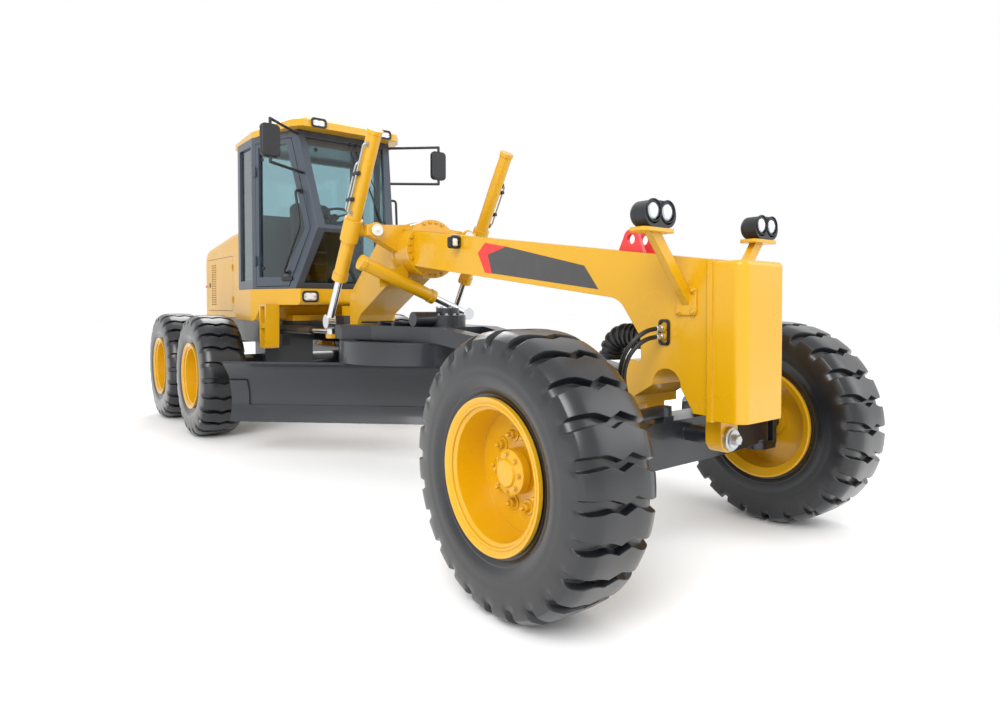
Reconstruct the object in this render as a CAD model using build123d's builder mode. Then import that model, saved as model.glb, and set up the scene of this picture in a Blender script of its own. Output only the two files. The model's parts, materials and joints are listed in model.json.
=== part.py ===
import os
from math import hypot, radians, tan
from build123d import *

# Motor grader: three axles, front frame hinged to the rear frame under the cab.
# Millimetres. Origin on the ground at mid-length and mid-width,
# +X forward, +Y to the machine's left, +Z up.

# Driving dimensions along the machine, nose to tail
FRONT_OVERHANG = 575
CIRCLE_TO_AXLE = 2775
PIVOT_TO_CIRCLE = 1400
MID_TO_PIVOT = 1275
TANDEM_GAP = 238
REAR_OVERHANG = 1337

# Wheels
TYRE_RADIUS = 650
TYRE_WIDTH = 440
RIM_RADIUS = 318
FLANGE_HEIGHT = 34
LUG_COUNT = 24
LUG_DEPTH = 36
LUG_WIDTH = 118
LUG_SLANT = 8
SKIRT_GAP = 88

# Hoses and the rubber boot behind the leg
HOSE_RADIUS = 12
GLAND_RADIUS = 20
GLAND_LENGTH = 25
BOOT_RADIUS = 76
BOOT_BEND = 140
BOOT_RIBS = 10

# Front frame and blade group
BEAM_HALF = 185
SADDLE_WALL = 12
CIRCLE_RADIUS = 700
RING_WIDTH = 130
RING_HEIGHT = 180
BLADE_LENGTH = 3660
BLADE_HEIGHT = 545
BLADE_THICKNESS = 25
BLADE_ANGLE = -45
BLADE_SETBACK = 85
BLADE_CLEARANCE = 335

# Rear frame, cab and hood
FRAME_TOP = 1240
FLOOR_RISE = 337
CAB_HEIGHT = 1613
CAB_HALF = 745
CAB_WALL = 60
PANE = 8
PLATFORM_LIP = 25
ROOF_DEPTH = 110
HOOD_HALF = 450
HOOD_WALL = 40
HOOD_ROUND = 70

# Clearances
RUN_GAP = 0.3
SLIDE_GAP = 0.5
DOOR_GAP = 5

# Positions that follow from them
rim_flange = RIM_RADIUS + FLANGE_HEIGHT
tandem_spacing = 2 * TYRE_RADIUS + TANDEM_GAP
front_length = FRONT_OVERHANG + CIRCLE_TO_AXLE + PIVOT_TO_CIRCLE
nose_x = (front_length + MID_TO_PIVOT + tandem_spacing + REAR_OVERHANG) / 2
tail_x = -nose_x
front_axle_x = nose_x - FRONT_OVERHANG
circle_x = front_axle_x - CIRCLE_TO_AXLE
pivot_x = circle_x - PIVOT_TO_CIRCLE
mid_axle_x = pivot_x - MID_TO_PIVOT
rear_axle_x = mid_axle_x - tandem_spacing
tandem_x = (mid_axle_x + rear_axle_x) / 2
leg_front = nose_x - 205
platform_half = CAB_HALF + PLATFORM_LIP
wheel_y = platform_half + SKIRT_GAP + TYRE_WIDTH / 2
wheel_z = TYRE_RADIUS
pin_z = wheel_z + 62
king_y = wheel_y - 228
ball_x = front_axle_x - 315
ball_z = 960
saddle_x = circle_x + 200
saddle_z = 1890
saddle_radius = hypot(BEAM_HALF, 150) + SADDLE_WALL
arm_y = 460
lift_y = 640
trunnion_x = saddle_x - 228
trunnion_z = 2030
lift_slope = 0.5967
ring_bottom = BLADE_CLEARANCE + BLADE_HEIGHT + 50
ring_top = ring_bottom + RING_HEIGHT
drawbar_top = ring_top + 125
eye_z = drawbar_top + 30
eye_x = trunnion_x - lift_slope * (trunnion_z - eye_z)

os.makedirs("parts", exist_ok=True)


def block(x0, x1, y0, y1, z0, z1):
    """A rectangular block between two corners."""
    with BuildPart() as body:
        with Locations(((x0 + x1) / 2, (y0 + y1) / 2, (z0 + z1) / 2)):
            Box(abs(x1 - x0), abs(y1 - y0), abs(z1 - z0))
    return body.part


def plate(plane, outline, thickness, rounds):
    """A plate standing on a plane, with a radius at the corners that rounds names."""
    with BuildPart() as body:
        with BuildSketch(plane) as face:
            with BuildLine():
                Polyline(*outline, close=True)
            make_face()
            for corner, radius in (rounds or {}).items():
                x, y = outline[corner]
                fillet(face.vertices().sort_by_distance((x, y, 0))[0], radius)
        extrude(amount=thickness)
    return body.part


def side_plate(outline, y0, y1, rounds=None):
    """A plate with its outline in the X-Z plane, thick from y0 to y1."""
    return plate(Plane.XZ.offset(-max(y0, y1)), outline, abs(y1 - y0), rounds)


def floor_plate(outline, z0, z1, rounds=None):
    """A plate with its outline in the X-Y plane, thick from z0 to z1."""
    return plate(Plane.XY.offset(z0), outline, z1 - z0, rounds)


def cross_plate(outline, x0, x1, rounds=None):
    """A plate with its outline in the Y-Z plane, thick from x0 to x1."""
    return plate(Plane.YZ.offset(x0), outline, x1 - x0, rounds)


def bar(start, end, radius):
    """A round bar between two points."""
    axis = Vector(*end) - Vector(*start)
    with BuildPart(Plane(origin=start, z_dir=axis)) as body:
        Cylinder(radius, axis.length, align=(Align.CENTER, Align.CENTER, Align.MIN))
    return body.part


def cross_bar(x, z, y0, y1, radius):
    """A round bar across the machine."""
    return bar((x, min(y0, y1), z), (x, max(y0, y1), z), radius)


def long_bar(y, z, x0, x1, radius):
    """A round bar along the machine."""
    return bar((x0, y, z), (x1, y, z), radius)


def upright(x, y, z0, z1, radius):
    """An upright round bar."""
    return bar((x, y, z0), (x, y, z1), radius)


def mirrored(outline):
    """An outline given for the left half, completed about the centreline."""
    return list(outline) + [(x, -y) for x, y in reversed(outline)]


def along_ram(start, end, share):
    """A point part of the way from one end of a ram to the other."""
    return tuple(a + (b - a) * share for a, b in zip(start, end))


def save(name, label):
    """Label one piece and write its file."""
    name.part.label = label
    export_step(name.part, "parts/" + label + ".step")


SIDES = ((1, "left"), (-1, "right"))

# Routes of the two hoses from the leg's right side down to the axle
gland_y = -BEAM_HALF - GLAND_LENGTH
axle_top = wheel_z + 155
hose_routes = [
    [
        (front_axle_x + 90, gland_y, 1286),
        (front_axle_x + 90, gland_y - 88, 1286),
        (front_axle_x + 68, gland_y - 164, 1248),
        (front_axle_x + 26, gland_y - 208, 1176),
        (front_axle_x - 18, gland_y - 208, 1082),
        (front_axle_x - 55, gland_y - 172, 985),
        (front_axle_x - 75, gland_y - 120, 890),
        (front_axle_x - 75, gland_y - 120, axle_top),
    ],
    [
        (front_axle_x + 90, gland_y, 1242),
        (front_axle_x + 90, gland_y - 88, 1242),
        (front_axle_x + 70, gland_y - 162, 1208),
        (front_axle_x + 36, gland_y - 202, 1142),
        (front_axle_x + 6, gland_y - 206, 1050),
        (front_axle_x - 8, gland_y - 176, 958),
        (front_axle_x - 10, gland_y - 130, 880),
        (front_axle_x - 10, gland_y - 130, axle_top),
    ],
]
boot_z = 1225
boot_front = front_axle_x - 150

# Front frame: a sloped box beam, dropping to the hinge post behind and the axle leg ahead
beam_outline = [
    (leg_front, 1640),
    (circle_x - 320, 2103),
    (pivot_x + 340, 1511),
    (pivot_x + 340, 1010),
    (pivot_x + 500, 1010),
    (pivot_x + 506, 1284),
    (circle_x + 56, 1757),
    (front_axle_x - 241, 1447),
    (front_axle_x - 79, 1233),
    (front_axle_x - 75, 1100),
    (front_axle_x - 215, 1100),
    (front_axle_x - 215, 800),
    (front_axle_x - 195, pin_z - 72),
    (leg_front, pin_z - 72),
]
beam_rounds = {1: 260, 2: 200, 5: 160, 6: 300, 7: 160, 8: 90}
arch_x0 = front_axle_x - 120
arch_x1 = leg_front - 95
pocket_x = arch_x0 + 0.565 * (arch_x1 - arch_x0)
pocket_radius = 0.24 * (arch_x1 - arch_x0)
pocket_z = 975
arch = [
    (arch_x0, 500),
    (arch_x0, 900),
    (pocket_x - pocket_radius, pocket_z),
    (pocket_x + pocket_radius, pocket_z),
    (arch_x1, 858),
    (arch_x1, 500),
]
with BuildPart() as front_frame:
    add(side_plate(beam_outline, -BEAM_HALF, BEAM_HALF, beam_rounds))
    # arch over the axle with a round pocket at its top, and round-ended lugs for the axle's pin
    add(side_plate(arch, -300, 300), mode=Mode.SUBTRACT)
    add(cross_bar(pocket_x, pocket_z, -300, 300, pocket_radius), mode=Mode.SUBTRACT)
    for side in (-1, 1):
        trim = block(front_axle_x - 220, leg_front + 10, side * 75, side * 300, 500, pin_z + 138)
        add(trim, mode=Mode.SUBTRACT)
    with BuildPart(mode=Mode.PRIVATE) as lug_end:
        add(block(front_axle_x - 220, leg_front + 10, -80, 80, pin_z - 80, pin_z))
        add(long_bar(0, pin_z, front_axle_x - 230, leg_front + 20, 75), mode=Mode.SUBTRACT)
    add(lug_end.part, mode=Mode.SUBTRACT)
    add(long_bar(0, pin_z, front_axle_x - 250, nose_x, 50), mode=Mode.SUBTRACT)
    # hinge ears above and below the rear frame's knuckle
    for z0, z1 in ((1300, 1400), (1010, 1110)):
        add(block(pivot_x, pivot_x + 360, -110, 110, z0, z1))
        add(upright(pivot_x, 0, z0, z1, 110))
    add(upright(pivot_x, 0, 950, 1450, 50 + RUN_GAP), mode=Mode.SUBTRACT)
    # lugs for the two rams between the frames
    for side in (-1, 1):
        lug = [(pivot_x + 345, side * (BEAM_HALF - 5)), (pivot_x + 345, side * 455)]
        lug += [(pivot_x + 450, side * 455), (pivot_x + 450, side * (BEAM_HALF - 5))]
        add(floor_plate(lug, 1090, 1130, {1: 50, 2: 50}))
    # seat behind the leg for the drawbar's ball
    with BuildPart(mode=Mode.PRIVATE) as ball_seat:
        add(block(ball_x + 20, front_axle_x - 200, -95, 95, ball_z - 100, ball_z + 100))
        add(long_bar(0, ball_z, ball_x, ball_x + 70 + RUN_GAP, 70 + RUN_GAP), mode=Mode.SUBTRACT)
    add(ball_seat.part)
    # slanted arms that carry the headlamps, each with a flat top plate
    for side in (-1, 1):
        inner = side * (BEAM_HALF - 5)
        arm = [(inner, 1390), (inner, 1480), (side * 430, 1780), (side * 500, 1770)]
        add(cross_plate(arm, leg_front - 155, leg_front - 115))
        top = [(leg_front - 185, side * 350), (leg_front - 185, side * 590)]
        top += [(leg_front - 75, side * 590), (leg_front - 75, side * 350)]
        add(floor_plate(top, 1765, 1785, {0: 30, 1: 30, 2: 30, 3: 30}))
    # glands on the right side that the hoses come out of, and the stub that holds the boot
    for route in hose_routes:
        x, y, z = route[0]
        add(cross_bar(x, z, y, -BEAM_HALF + 10, GLAND_RADIUS))
    add(long_bar(0, boot_z, boot_front, front_axle_x - 40, BOOT_RADIUS + 10))
save(front_frame, "front_frame")

# Nose cover bolted on the leg's front
with BuildPart() as nose_cover:
    add(block(leg_front, nose_x, -BEAM_HALF - 10, BEAM_HALF + 10, 830, 1630))
    fillet(nose_cover.edges().filter_by(Axis.Z).group_by(Axis.X)[-1], 60)
    fillet(nose_cover.faces().sort_by(Axis.Z)[-1].edges().group_by(Axis.X)[-1], 25)
    add(block(leg_front, leg_front + 32, -BEAM_HALF - 18, BEAM_HALF + 18, 822, 1638))
save(nose_cover, "nose_cover")

# Lifting eyes on the beam's top: round-headed triangular plates
hoist_x = front_axle_x - 255
hoist_z = 1795
with BuildPart() as lifting_eyes:
    for side in (-1, 1):
        foot = [(hoist_x - 120, 1690), (hoist_x - 46, 1832), (hoist_x + 46, 1832), (hoist_x + 120, 1660)]
        add(side_plate(foot, side * 45, side * 70))
        add(cross_bar(hoist_x, hoist_z, side * 45, side * 70, 60))
    add(cross_bar(hoist_x, hoist_z, -80, 80, 30), mode=Mode.SUBTRACT)
    add(front_frame.part, mode=Mode.SUBTRACT)
save(lifting_eyes, "lifting_eyes")

# Saddle: a flanged drum round the beam with an arm to each lift ram
with BuildPart() as saddle:
    add(long_bar(0, saddle_z, saddle_x - 300, saddle_x, saddle_radius - 8))
    for x in (saddle_x - 300, saddle_x - 45):
        add(long_bar(0, saddle_z, x, x + 45, saddle_radius))
    for side in (-1, 1):
        arm = [
            (side * 120, 1800),
            (side * 120, 2105),
            (side * arm_y, 2082),
            (side * arm_y, 1978),
        ]
        add(cross_plate(arm, trunnion_x - 65, trunnion_x + 45))
        add(long_bar(side * arm_y, trunnion_z, trunnion_x - 65, trunnion_x + 45, 52))
    # bracket for the centre-shift ram
    bracket = [(-420, 1560), (-420, 1680), (-150, 1760), (-150, 1600)]
    add(cross_plate(bracket, saddle_x - 190, saddle_x - 160))
    add(front_frame.part, mode=Mode.SUBTRACT)
save(saddle, "saddle")


def hose(route):
    """A hose along a route of points, each bend as wide as its two runs allow."""
    points = [Vector(*point) for point in route]
    bends = []
    for before, here, after in zip(points, points[1:], points[2:]):
        run = min((here - before).length, (after - here).length)
        turn = (here - before).get_angle(after - here)
        bends.append(0.45 * run / tan(radians(turn / 2)))
    print("hose bend radii", [round(radius) for radius in bends])
    with BuildPart() as body:
        with BuildLine() as path:
            FilletPolyline(*points, radius=bends)
        with BuildSketch(Plane(origin=points[0], z_dir=points[1] - points[0])):
            Circle(HOSE_RADIUS)
        sweep(path=path.wires()[0])
    return body.part


# Hoses between their glands
with BuildPart() as frame_hoses:
    for route in hose_routes:
        add(hose(route))
save(frame_hoses, "frame_hoses")

# Ribbed rubber boot that leads hoses from the stub on the leg down to the drawbar
boot_x = ball_x - 160
boot_low = boot_z - BOOT_BEND - 10
with BuildPart() as leg_boot:
    with BuildLine() as boot_path:
        FilletPolyline((boot_front, 0, boot_z), (boot_x, 0, boot_z), (boot_x, 0, boot_low), radius=BOOT_BEND)
    with BuildSketch(Plane(origin=(boot_front, 0, boot_z), z_dir=(-1, 0, 0))):
        Circle(BOOT_RADIUS - 12)
    sweep(path=boot_path.wires()[0])
    # straight ribs first, then the ones round the bend
    rib_count = BOOT_RIBS // 2
    rib_pitch = (boot_front - boot_x - BOOT_BEND) / rib_count
    for number in range(rib_count):
        x = boot_front - rib_pitch * (number + 0.5)
        add(long_bar(0, boot_z, x - 9, x + 9, BOOT_RADIUS))
    for number in range(rib_count):
        rib = long_bar(0, boot_z, boot_x + BOOT_BEND - 9, boot_x + BOOT_BEND + 9, BOOT_RADIUS)
        angle = 90 * (number + 0.5) / rib_count
        about = Axis((boot_x + BOOT_BEND, 0, boot_z - BOOT_BEND), (0, 1, 0))
        add(rib.rotate(about, -angle))
save(leg_boot, "leg_boot")


def headlamp(side):
    """A twin lamp: two round lens cups in one oval housing, rounded at the back."""
    with BuildPart() as body:
        with BuildSketch(Plane.YZ.offset(leg_front - 185)):
            with Locations((side * 470, 1850)):
                SlotCenterToCenter(104, 130)
        extrude(amount=110)
        fillet(body.faces().sort_by(Axis.X)[0].edges(), 30)
        with BuildSketch(Plane.YZ.offset(leg_front - 75)):
            with Locations((side * 470 - 52, 1850), (side * 470 + 52, 1850)):
                Circle(50)
        extrude(amount=-22, taper=12, mode=Mode.SUBTRACT)
    return body.part


def square_lamp(x, y, z, width, height):
    """A rounded square lamp that looks forward, its lens sunk in its rim."""
    with BuildPart() as body:
        with BuildSketch(Plane.YZ.offset(x - 50)):
            with Locations((y, z)):
                RectangleRounded(width, height, 0.22 * height)
        extrude(amount=50)
        with BuildSketch(Plane.YZ.offset(x)):
            with Locations((y, z)):
                RectangleRounded(width - 20, height - 20, 0.22 * height - 8)
        extrude(amount=-10, mode=Mode.SUBTRACT)
    return body.part


# Lamps on the front frame: two headlamps, and two work lamps beside the saddle
work_lamp_x = saddle_x + 650
with BuildPart() as front_lamps:
    for side in (-1, 1):
        add(headlamp(side))
        add(square_lamp(work_lamp_x + 60, side * (BEAM_HALF + 50), 1885, 80, 90))
        add(cross_bar(work_lamp_x + 20, 1860, side * BEAM_HALF, side * (BEAM_HALF + 20), 14))
save(front_lamps, "front_lamps")

# Front axle on its fore-and-aft pin, waisted towards the kingpins
tie_arm = 200
with BuildPart() as front_axle:
    half = [(king_y, wheel_z - 90), (king_y, wheel_z + 100), (380, wheel_z + 105), (300, wheel_z + 135)]
    beam = [(-y, z) for y, z in half] + list(reversed(half))
    beam += [(380, wheel_z - 115), (-380, wheel_z - 115)]
    add(cross_plate(beam, front_axle_x - 110, front_axle_x + 110))
    for side in (-1, 1):
        for x in (front_axle_x + 75, front_axle_x - 120):
            cheek = block(x, x + 45, side * (king_y - 150), side * (king_y + 150), wheel_z - 150, wheel_z + 150)
            add(cheek, mode=Mode.SUBTRACT)
        add(upright(front_axle_x, side * king_y, wheel_z - 110, wheel_z + 110, 75))
        add(block(front_axle_x + 40, front_axle_x + 110, side * 130, side * 205, wheel_z + 120, wheel_z + 162))
    add(long_bar(0, pin_z, front_axle_x - 200, leg_front, 50))
    for route in hose_routes:
        x, y, z = route[-1]
        add(upright(x, y, wheel_z + 100, z, GLAND_RADIUS))
save(front_axle, "front_axle")


def knuckle(side):
    """A fork round the kingpin with the wheel spindle and both steering arms."""
    high = wheel_z + 112
    low = wheel_z - 162
    with BuildPart() as body:
        for z in (low, high):
            add(upright(front_axle_x, side * king_y, z, z + 50, 75))
            add(block(front_axle_x - 75, front_axle_x + 75, side * king_y, side * (king_y + 110), z, z + 50))
        stem = [(king_y + 80, low), (king_y + 80, high + 50), (king_y + 120, high + 20), (king_y + 120, low + 30)]
        add(cross_plate([(side * y, z) for y, z in stem], front_axle_x - 75, front_axle_x + 75))
        add(cross_bar(front_axle_x, wheel_z, side * (king_y + 115), side * (king_y + 270), 60))
        back = front_axle_x - tie_arm
        add(block(back, front_axle_x - 60, side * (king_y - 40), side * (king_y + 40), low, low + 50))
        add(upright(back, side * king_y, low, low + 50, 40))
        add(block(front_axle_x + 60, front_axle_x + 150, side * (king_y - 105), side * (king_y - 25), high, high + 50))
        add(upright(front_axle_x + 150, side * (king_y - 65), high, high + 50, 40))
    return body


for side, word in SIDES:
    save(knuckle(side), "knuckle_" + word)

# Tie rod under the knuckles' rear arms
tie_x = front_axle_x - tie_arm
tie_z = wheel_z - 188
with BuildPart() as tie_rod:
    add(cross_bar(tie_x, tie_z, -king_y, king_y, 24))
    for side in (-1, 1):
        add(upright(tie_x, side * king_y, tie_z - 25.5, tie_z + 25.5, 36))
save(tie_rod, "tie_rod")

# Steering rams: barrel on the axle, rod to the knuckle's front arm
ram_z = wheel_z + 188
for side, word in SIDES:
    inner = (front_axle_x + 75, side * 170, ram_z)
    outer = (front_axle_x + 150, side * (king_y - 65), ram_z)
    with BuildPart() as steering_barrel:
        add(bar(inner, along_ram(inner, outer, 0.1), 24))
        add(bar(along_ram(inner, outer, 0.08), along_ram(inner, outer, 0.66), 34))
        add(upright(*inner[:2], ram_z - 25.5, ram_z + 25.5, 42))
        bore = bar(along_ram(inner, outer, 0.13), along_ram(inner, outer, 0.7), 18 + RUN_GAP)
        add(bore, mode=Mode.SUBTRACT)
    save(steering_barrel, "steering_barrel_" + word)
    with BuildPart() as steering_rod:
        add(bar(along_ram(inner, outer, 0.34), along_ram(inner, outer, 0.98), 18))
        add(upright(*outer[:2], ram_z - 25, ram_z + 25, 38))
    save(steering_rod, "steering_rod_" + word)


def tyre(x, y):
    """A lugged tyre: a many-sided casing with one slanted bar lug over each of its corners."""
    half = TYRE_WIDTH / 2
    floor = TYRE_RADIUS - LUG_DEPTH
    with BuildPart() as body:
        # bead, widest part of the sidewall and shoulder, then the same again
        rings = [(half - 36, rim_flange + 4), (half, floor - 94), (half - 20, floor)]
        for across, size in [(-w, r) for w, r in rings] + rings[::-1]:
            with BuildSketch(Plane.XZ.offset(-across)):
                RegularPolygon(size, LUG_COUNT, major_radius=False)
        loft(ruled=True)
        with BuildSketch(Plane.XZ.offset(-half)):
            RegularPolygon(RIM_RADIUS + RUN_GAP, LUG_COUNT, major_radius=False)
        extrude(amount=TYRE_WIDTH, mode=Mode.SUBTRACT)
        lug = [(-half + 30, floor - 14), (-half + 60, TYRE_RADIUS), (half - 60, TYRE_RADIUS), (half - 30, floor - 14)]
        with BuildPart(mode=Mode.PRIVATE) as bar_lug:
            add(cross_plate(lug, -LUG_WIDTH / 2, LUG_WIDTH / 2))
        slanted = bar_lug.part.moved(Location((0, 0, 0), (0, 0, LUG_SLANT)))
        for number in range(LUG_COUNT):
            add(slanted.moved(Location((0, 0, 0), (0, number * 360 / LUG_COUNT, 0))))
    body.part = body.part.moved(Location((x, y, wheel_z)))
    return body


def rim(x, y, side):
    """A deep dished rim with its hub, bored for the spindle from inboard."""
    half = TYRE_WIDTH / 2
    with BuildPart() as body:
        with BuildSketch(Plane.XY):
            with BuildLine():
                Polyline(
                    (0, side * 85),
                    (70, side * 85),
                    (95, side * 65),
                    (105, side * 20),
                    (RIM_RADIUS - 32, side * 20),
                    (RIM_RADIUS - 24, side * (half - 40)),
                    (rim_flange - 10, side * (half - 8)),
                    (rim_flange, side * (half - 8)),
                    (rim_flange, side * (half - 30)),
                    (RIM_RADIUS, side * (half - 30)),
                    (RIM_RADIUS, -side * (half - 30)),
                    (rim_flange, -side * (half - 30)),
                    (rim_flange, -side * (half - 8)),
                    (rim_flange - 10, -side * (half - 8)),
                    (RIM_RADIUS - 24, -side * (half - 40)),
                    (RIM_RADIUS - 32, -side * 20),
                    (105, -side * 20),
                    (95, -side * 55),
                    (60 + RUN_GAP, -side * 55),
                    (60 + RUN_GAP, side * 50),
                    (0, side * 50),
                    close=True,
                )
            make_face()
        revolve(axis=Axis.Y)
    body.part = body.part.moved(Location((x, y, wheel_z)))
    return body


for x, place in ((front_axle_x, "front"), (mid_axle_x, "mid"), (rear_axle_x, "rear")):
    for side, word in SIDES:
        save(tyre(x, side * wheel_y), "tyre_" + place + "_" + word)
        save(rim(x, side * wheel_y, side), "rim_" + place + "_" + word)

# Drawbar: ball at the nose end, A-frame back to the crossbar over the circle
with BuildPart() as drawbar_ball:
    with Locations((ball_x, 0, ball_z)):
        Sphere(70)
save(drawbar_ball, "drawbar_ball")

# Ring, groove and shoes that hang the circle under the drawbar
ring_inner = CIRCLE_RADIUS - RING_WIDTH
groove_depth = 30
groove_z0 = ring_bottom + 70
groove_z1 = ring_bottom + 110
shoe_angles = (20, -20, 140, -140)


def washer(outer, inner, z0, z1):
    """A flat ring about the circle's axis."""
    with BuildPart() as body:
        with Locations((circle_x, 0, (z0 + z1) / 2)):
            Cylinder(outer, z1 - z0)
            Cylinder(inner, z1 - z0, mode=Mode.SUBTRACT)
    return body.part


with BuildPart() as shoes:
    add(washer(ring_inner - 5, ring_inner - 45, groove_z0 + SLIDE_GAP, ring_top + 20))
    add(washer(ring_inner + groove_depth - 5, ring_inner - 45, groove_z0 + SLIDE_GAP, groove_z1 - SLIDE_GAP))
    with BuildPart(mode=Mode.PRIVATE) as sectors:
        for angle in shoe_angles:
            sector = block(ring_inner - 60, ring_inner + 60, -70, 70, groove_z0, ring_top + 20)
            add(sector.moved(Location((circle_x, 0, 0), (0, 0, angle))))
    add(sectors.part, mode=Mode.INTERSECT)

slope_x = circle_x + CIRCLE_RADIUS + 20
with BuildPart() as drawbar:
    plan = mirrored(
        [
            (ball_x - 20, 80),
            (circle_x + 650, 300),
            (circle_x - 100, 430),
            (eye_x + 70, 560),
            (eye_x - 70, 560),
        ]
    )
    add(floor_plate(plan, 800, drawbar_top + 50))
    sides = [
        (eye_x - 70, ring_top + SLIDE_GAP),
        (slope_x, ring_top + SLIDE_GAP),
        (ball_x - 20, ball_z - 65),
        (ball_x - 20, ball_z + 65),
        (slope_x, drawbar_top),
        (eye_x - 70, drawbar_top),
    ]
    add(side_plate(sides, -700, 700), mode=Mode.INTERSECT)
    opening = mirrored([(ball_x - 420, 10), (circle_x + 700, 165)])
    add(floor_plate(opening, 800, drawbar_top + 50), mode=Mode.SUBTRACT)
    with Locations((ball_x, 0, ball_z)):
        Sphere(70 + RUN_GAP, mode=Mode.SUBTRACT)
    add(shoes.part)
    # gearbox and motor that turn the circle
    drive_x = circle_x + 430
    add(upright(drive_x, 0, drawbar_top - 10, drawbar_top + 90, 150))
    add(upright(drive_x, 0, drawbar_top + 80, drawbar_top + 150, 95))
    add(cross_bar(drive_x, drawbar_top + 60, -330, -100, 60))
save(drawbar, "drawbar")

turn = Location((circle_x, 0, 0), (0, 0, BLADE_ANGLE))
leg_y = CIRCLE_RADIUS - 85
hinge_back = -330
hinge_up = BLADE_CLEARANCE + 160
with BuildPart() as circle:
    with Locations((0, 0, (ring_top + ring_bottom) / 2)):
        Cylinder(CIRCLE_RADIUS, RING_HEIGHT)
        Cylinder(ring_inner, RING_HEIGHT, mode=Mode.SUBTRACT)
    with Locations((0, 0, (groove_z0 + groove_z1) / 2)):
        Cylinder(ring_inner + groove_depth, groove_z1 - groove_z0, mode=Mode.SUBTRACT)
    for side in (-1, 1):
        leg = [
            (hinge_back, ring_bottom + 40),
            (hinge_back + 180, ring_bottom + 40),
            (hinge_back + 45, ring_bottom - 130),
            (hinge_back + 40, hinge_up - 60),
            (hinge_back - 60, hinge_up - 60),
            (hinge_back - 60, hinge_up + 60),
        ]
        add(side_plate(leg, side * leg_y, side * (leg_y + 60), {2: 90, 3: 45, 4: 45}))
circle.part = circle.part.moved(turn)
save(circle, "circle")

# Tilt carrier hinged on the circle's legs, with the rails' jaws and the side-shift ram
jaw_x = -BLADE_SETBACK - 150
with BuildPart() as blade_carrier:
    add(cross_bar(hinge_back, hinge_up, -leg_y + SLIDE_GAP, leg_y - SLIDE_GAP, 45))
    for side in (-1, 1):
        jaw = [
            (hinge_back - 40, hinge_up),
            (jaw_x, hinge_up - 40),
            (jaw_x, hinge_up + 260),
            (jaw_x - 50, hinge_up + 260),
        ]
        add(side_plate(jaw, side * (leg_y - 195), side * (leg_y - 55)))
    add(cross_bar(hinge_back + 20, hinge_up + 110, -500, 500, 50))
    add(cross_bar(hinge_back + 20, hinge_up + 110, 380, 400, 62))
blade_carrier.part = blade_carrier.part.moved(turn)
save(blade_carrier, "blade_carrier")

# Blade: curved mouldboard with cutting edge and end bits in front, rails behind
edge_x = -BLADE_SETBACK
edge_z = BLADE_CLEARANCE
top_x = edge_x + 134
top_z = edge_z + BLADE_HEIGHT
belly_z = edge_z + 0.543 * BLADE_HEIGHT


def curved_plate(front, y0, y1):
    """Plate rolled to the mouldboard's curve, set forward by front."""
    skin = BLADE_THICKNESS
    with BuildPart() as body:
        with BuildSketch(Plane.XZ.offset(-y1)):
            with BuildLine():
                low = (edge_x + front, edge_z)
                high = (top_x + front, top_z)
                behind = (top_x + front - 0.72 * skin, top_z + 0.68 * skin)
                heel = (edge_x + front - skin, edge_z)
                ThreePointArc(low, (edge_x + front - 30, belly_z), high)
                Line(high, behind)
                ThreePointArc(behind, (edge_x + front - 30 - skin, belly_z), heel)
                Line(heel, low)
            make_face()
        extrude(amount=y1 - y0)
    return body.part


with BuildPart() as blade:
    with BuildPart(mode=Mode.PRIVATE) as facing:
        half = BLADE_LENGTH / 2
        add(curved_plate(16, -half, half))
        add(block(-500, 500, -half, half, edge_z - 1, edge_z + 152), mode=Mode.INTERSECT)
        with BuildPart(mode=Mode.PRIVATE) as end_bits:
            for side in (-1, 1):
                add(curved_plate(16, *sorted((side * (half - 170), side * half))))
            add(block(-500, 500, -half, half, edge_z - 1, edge_z + 380), mode=Mode.INTERSECT)
        add(end_bits.part)
    add(curved_plate(0, -half, half))
    add(facing.part)
    rail_half = 0.683 * half
    for low, front in ((hinge_up - 25, edge_x - 50), (hinge_up + 195, edge_x - 22)):
        add(block(jaw_x + SLIDE_GAP, front, -rail_half, rail_half, low, low + 50))
blade.part = blade.part.moved(turn)
save(blade, "blade")

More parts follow.
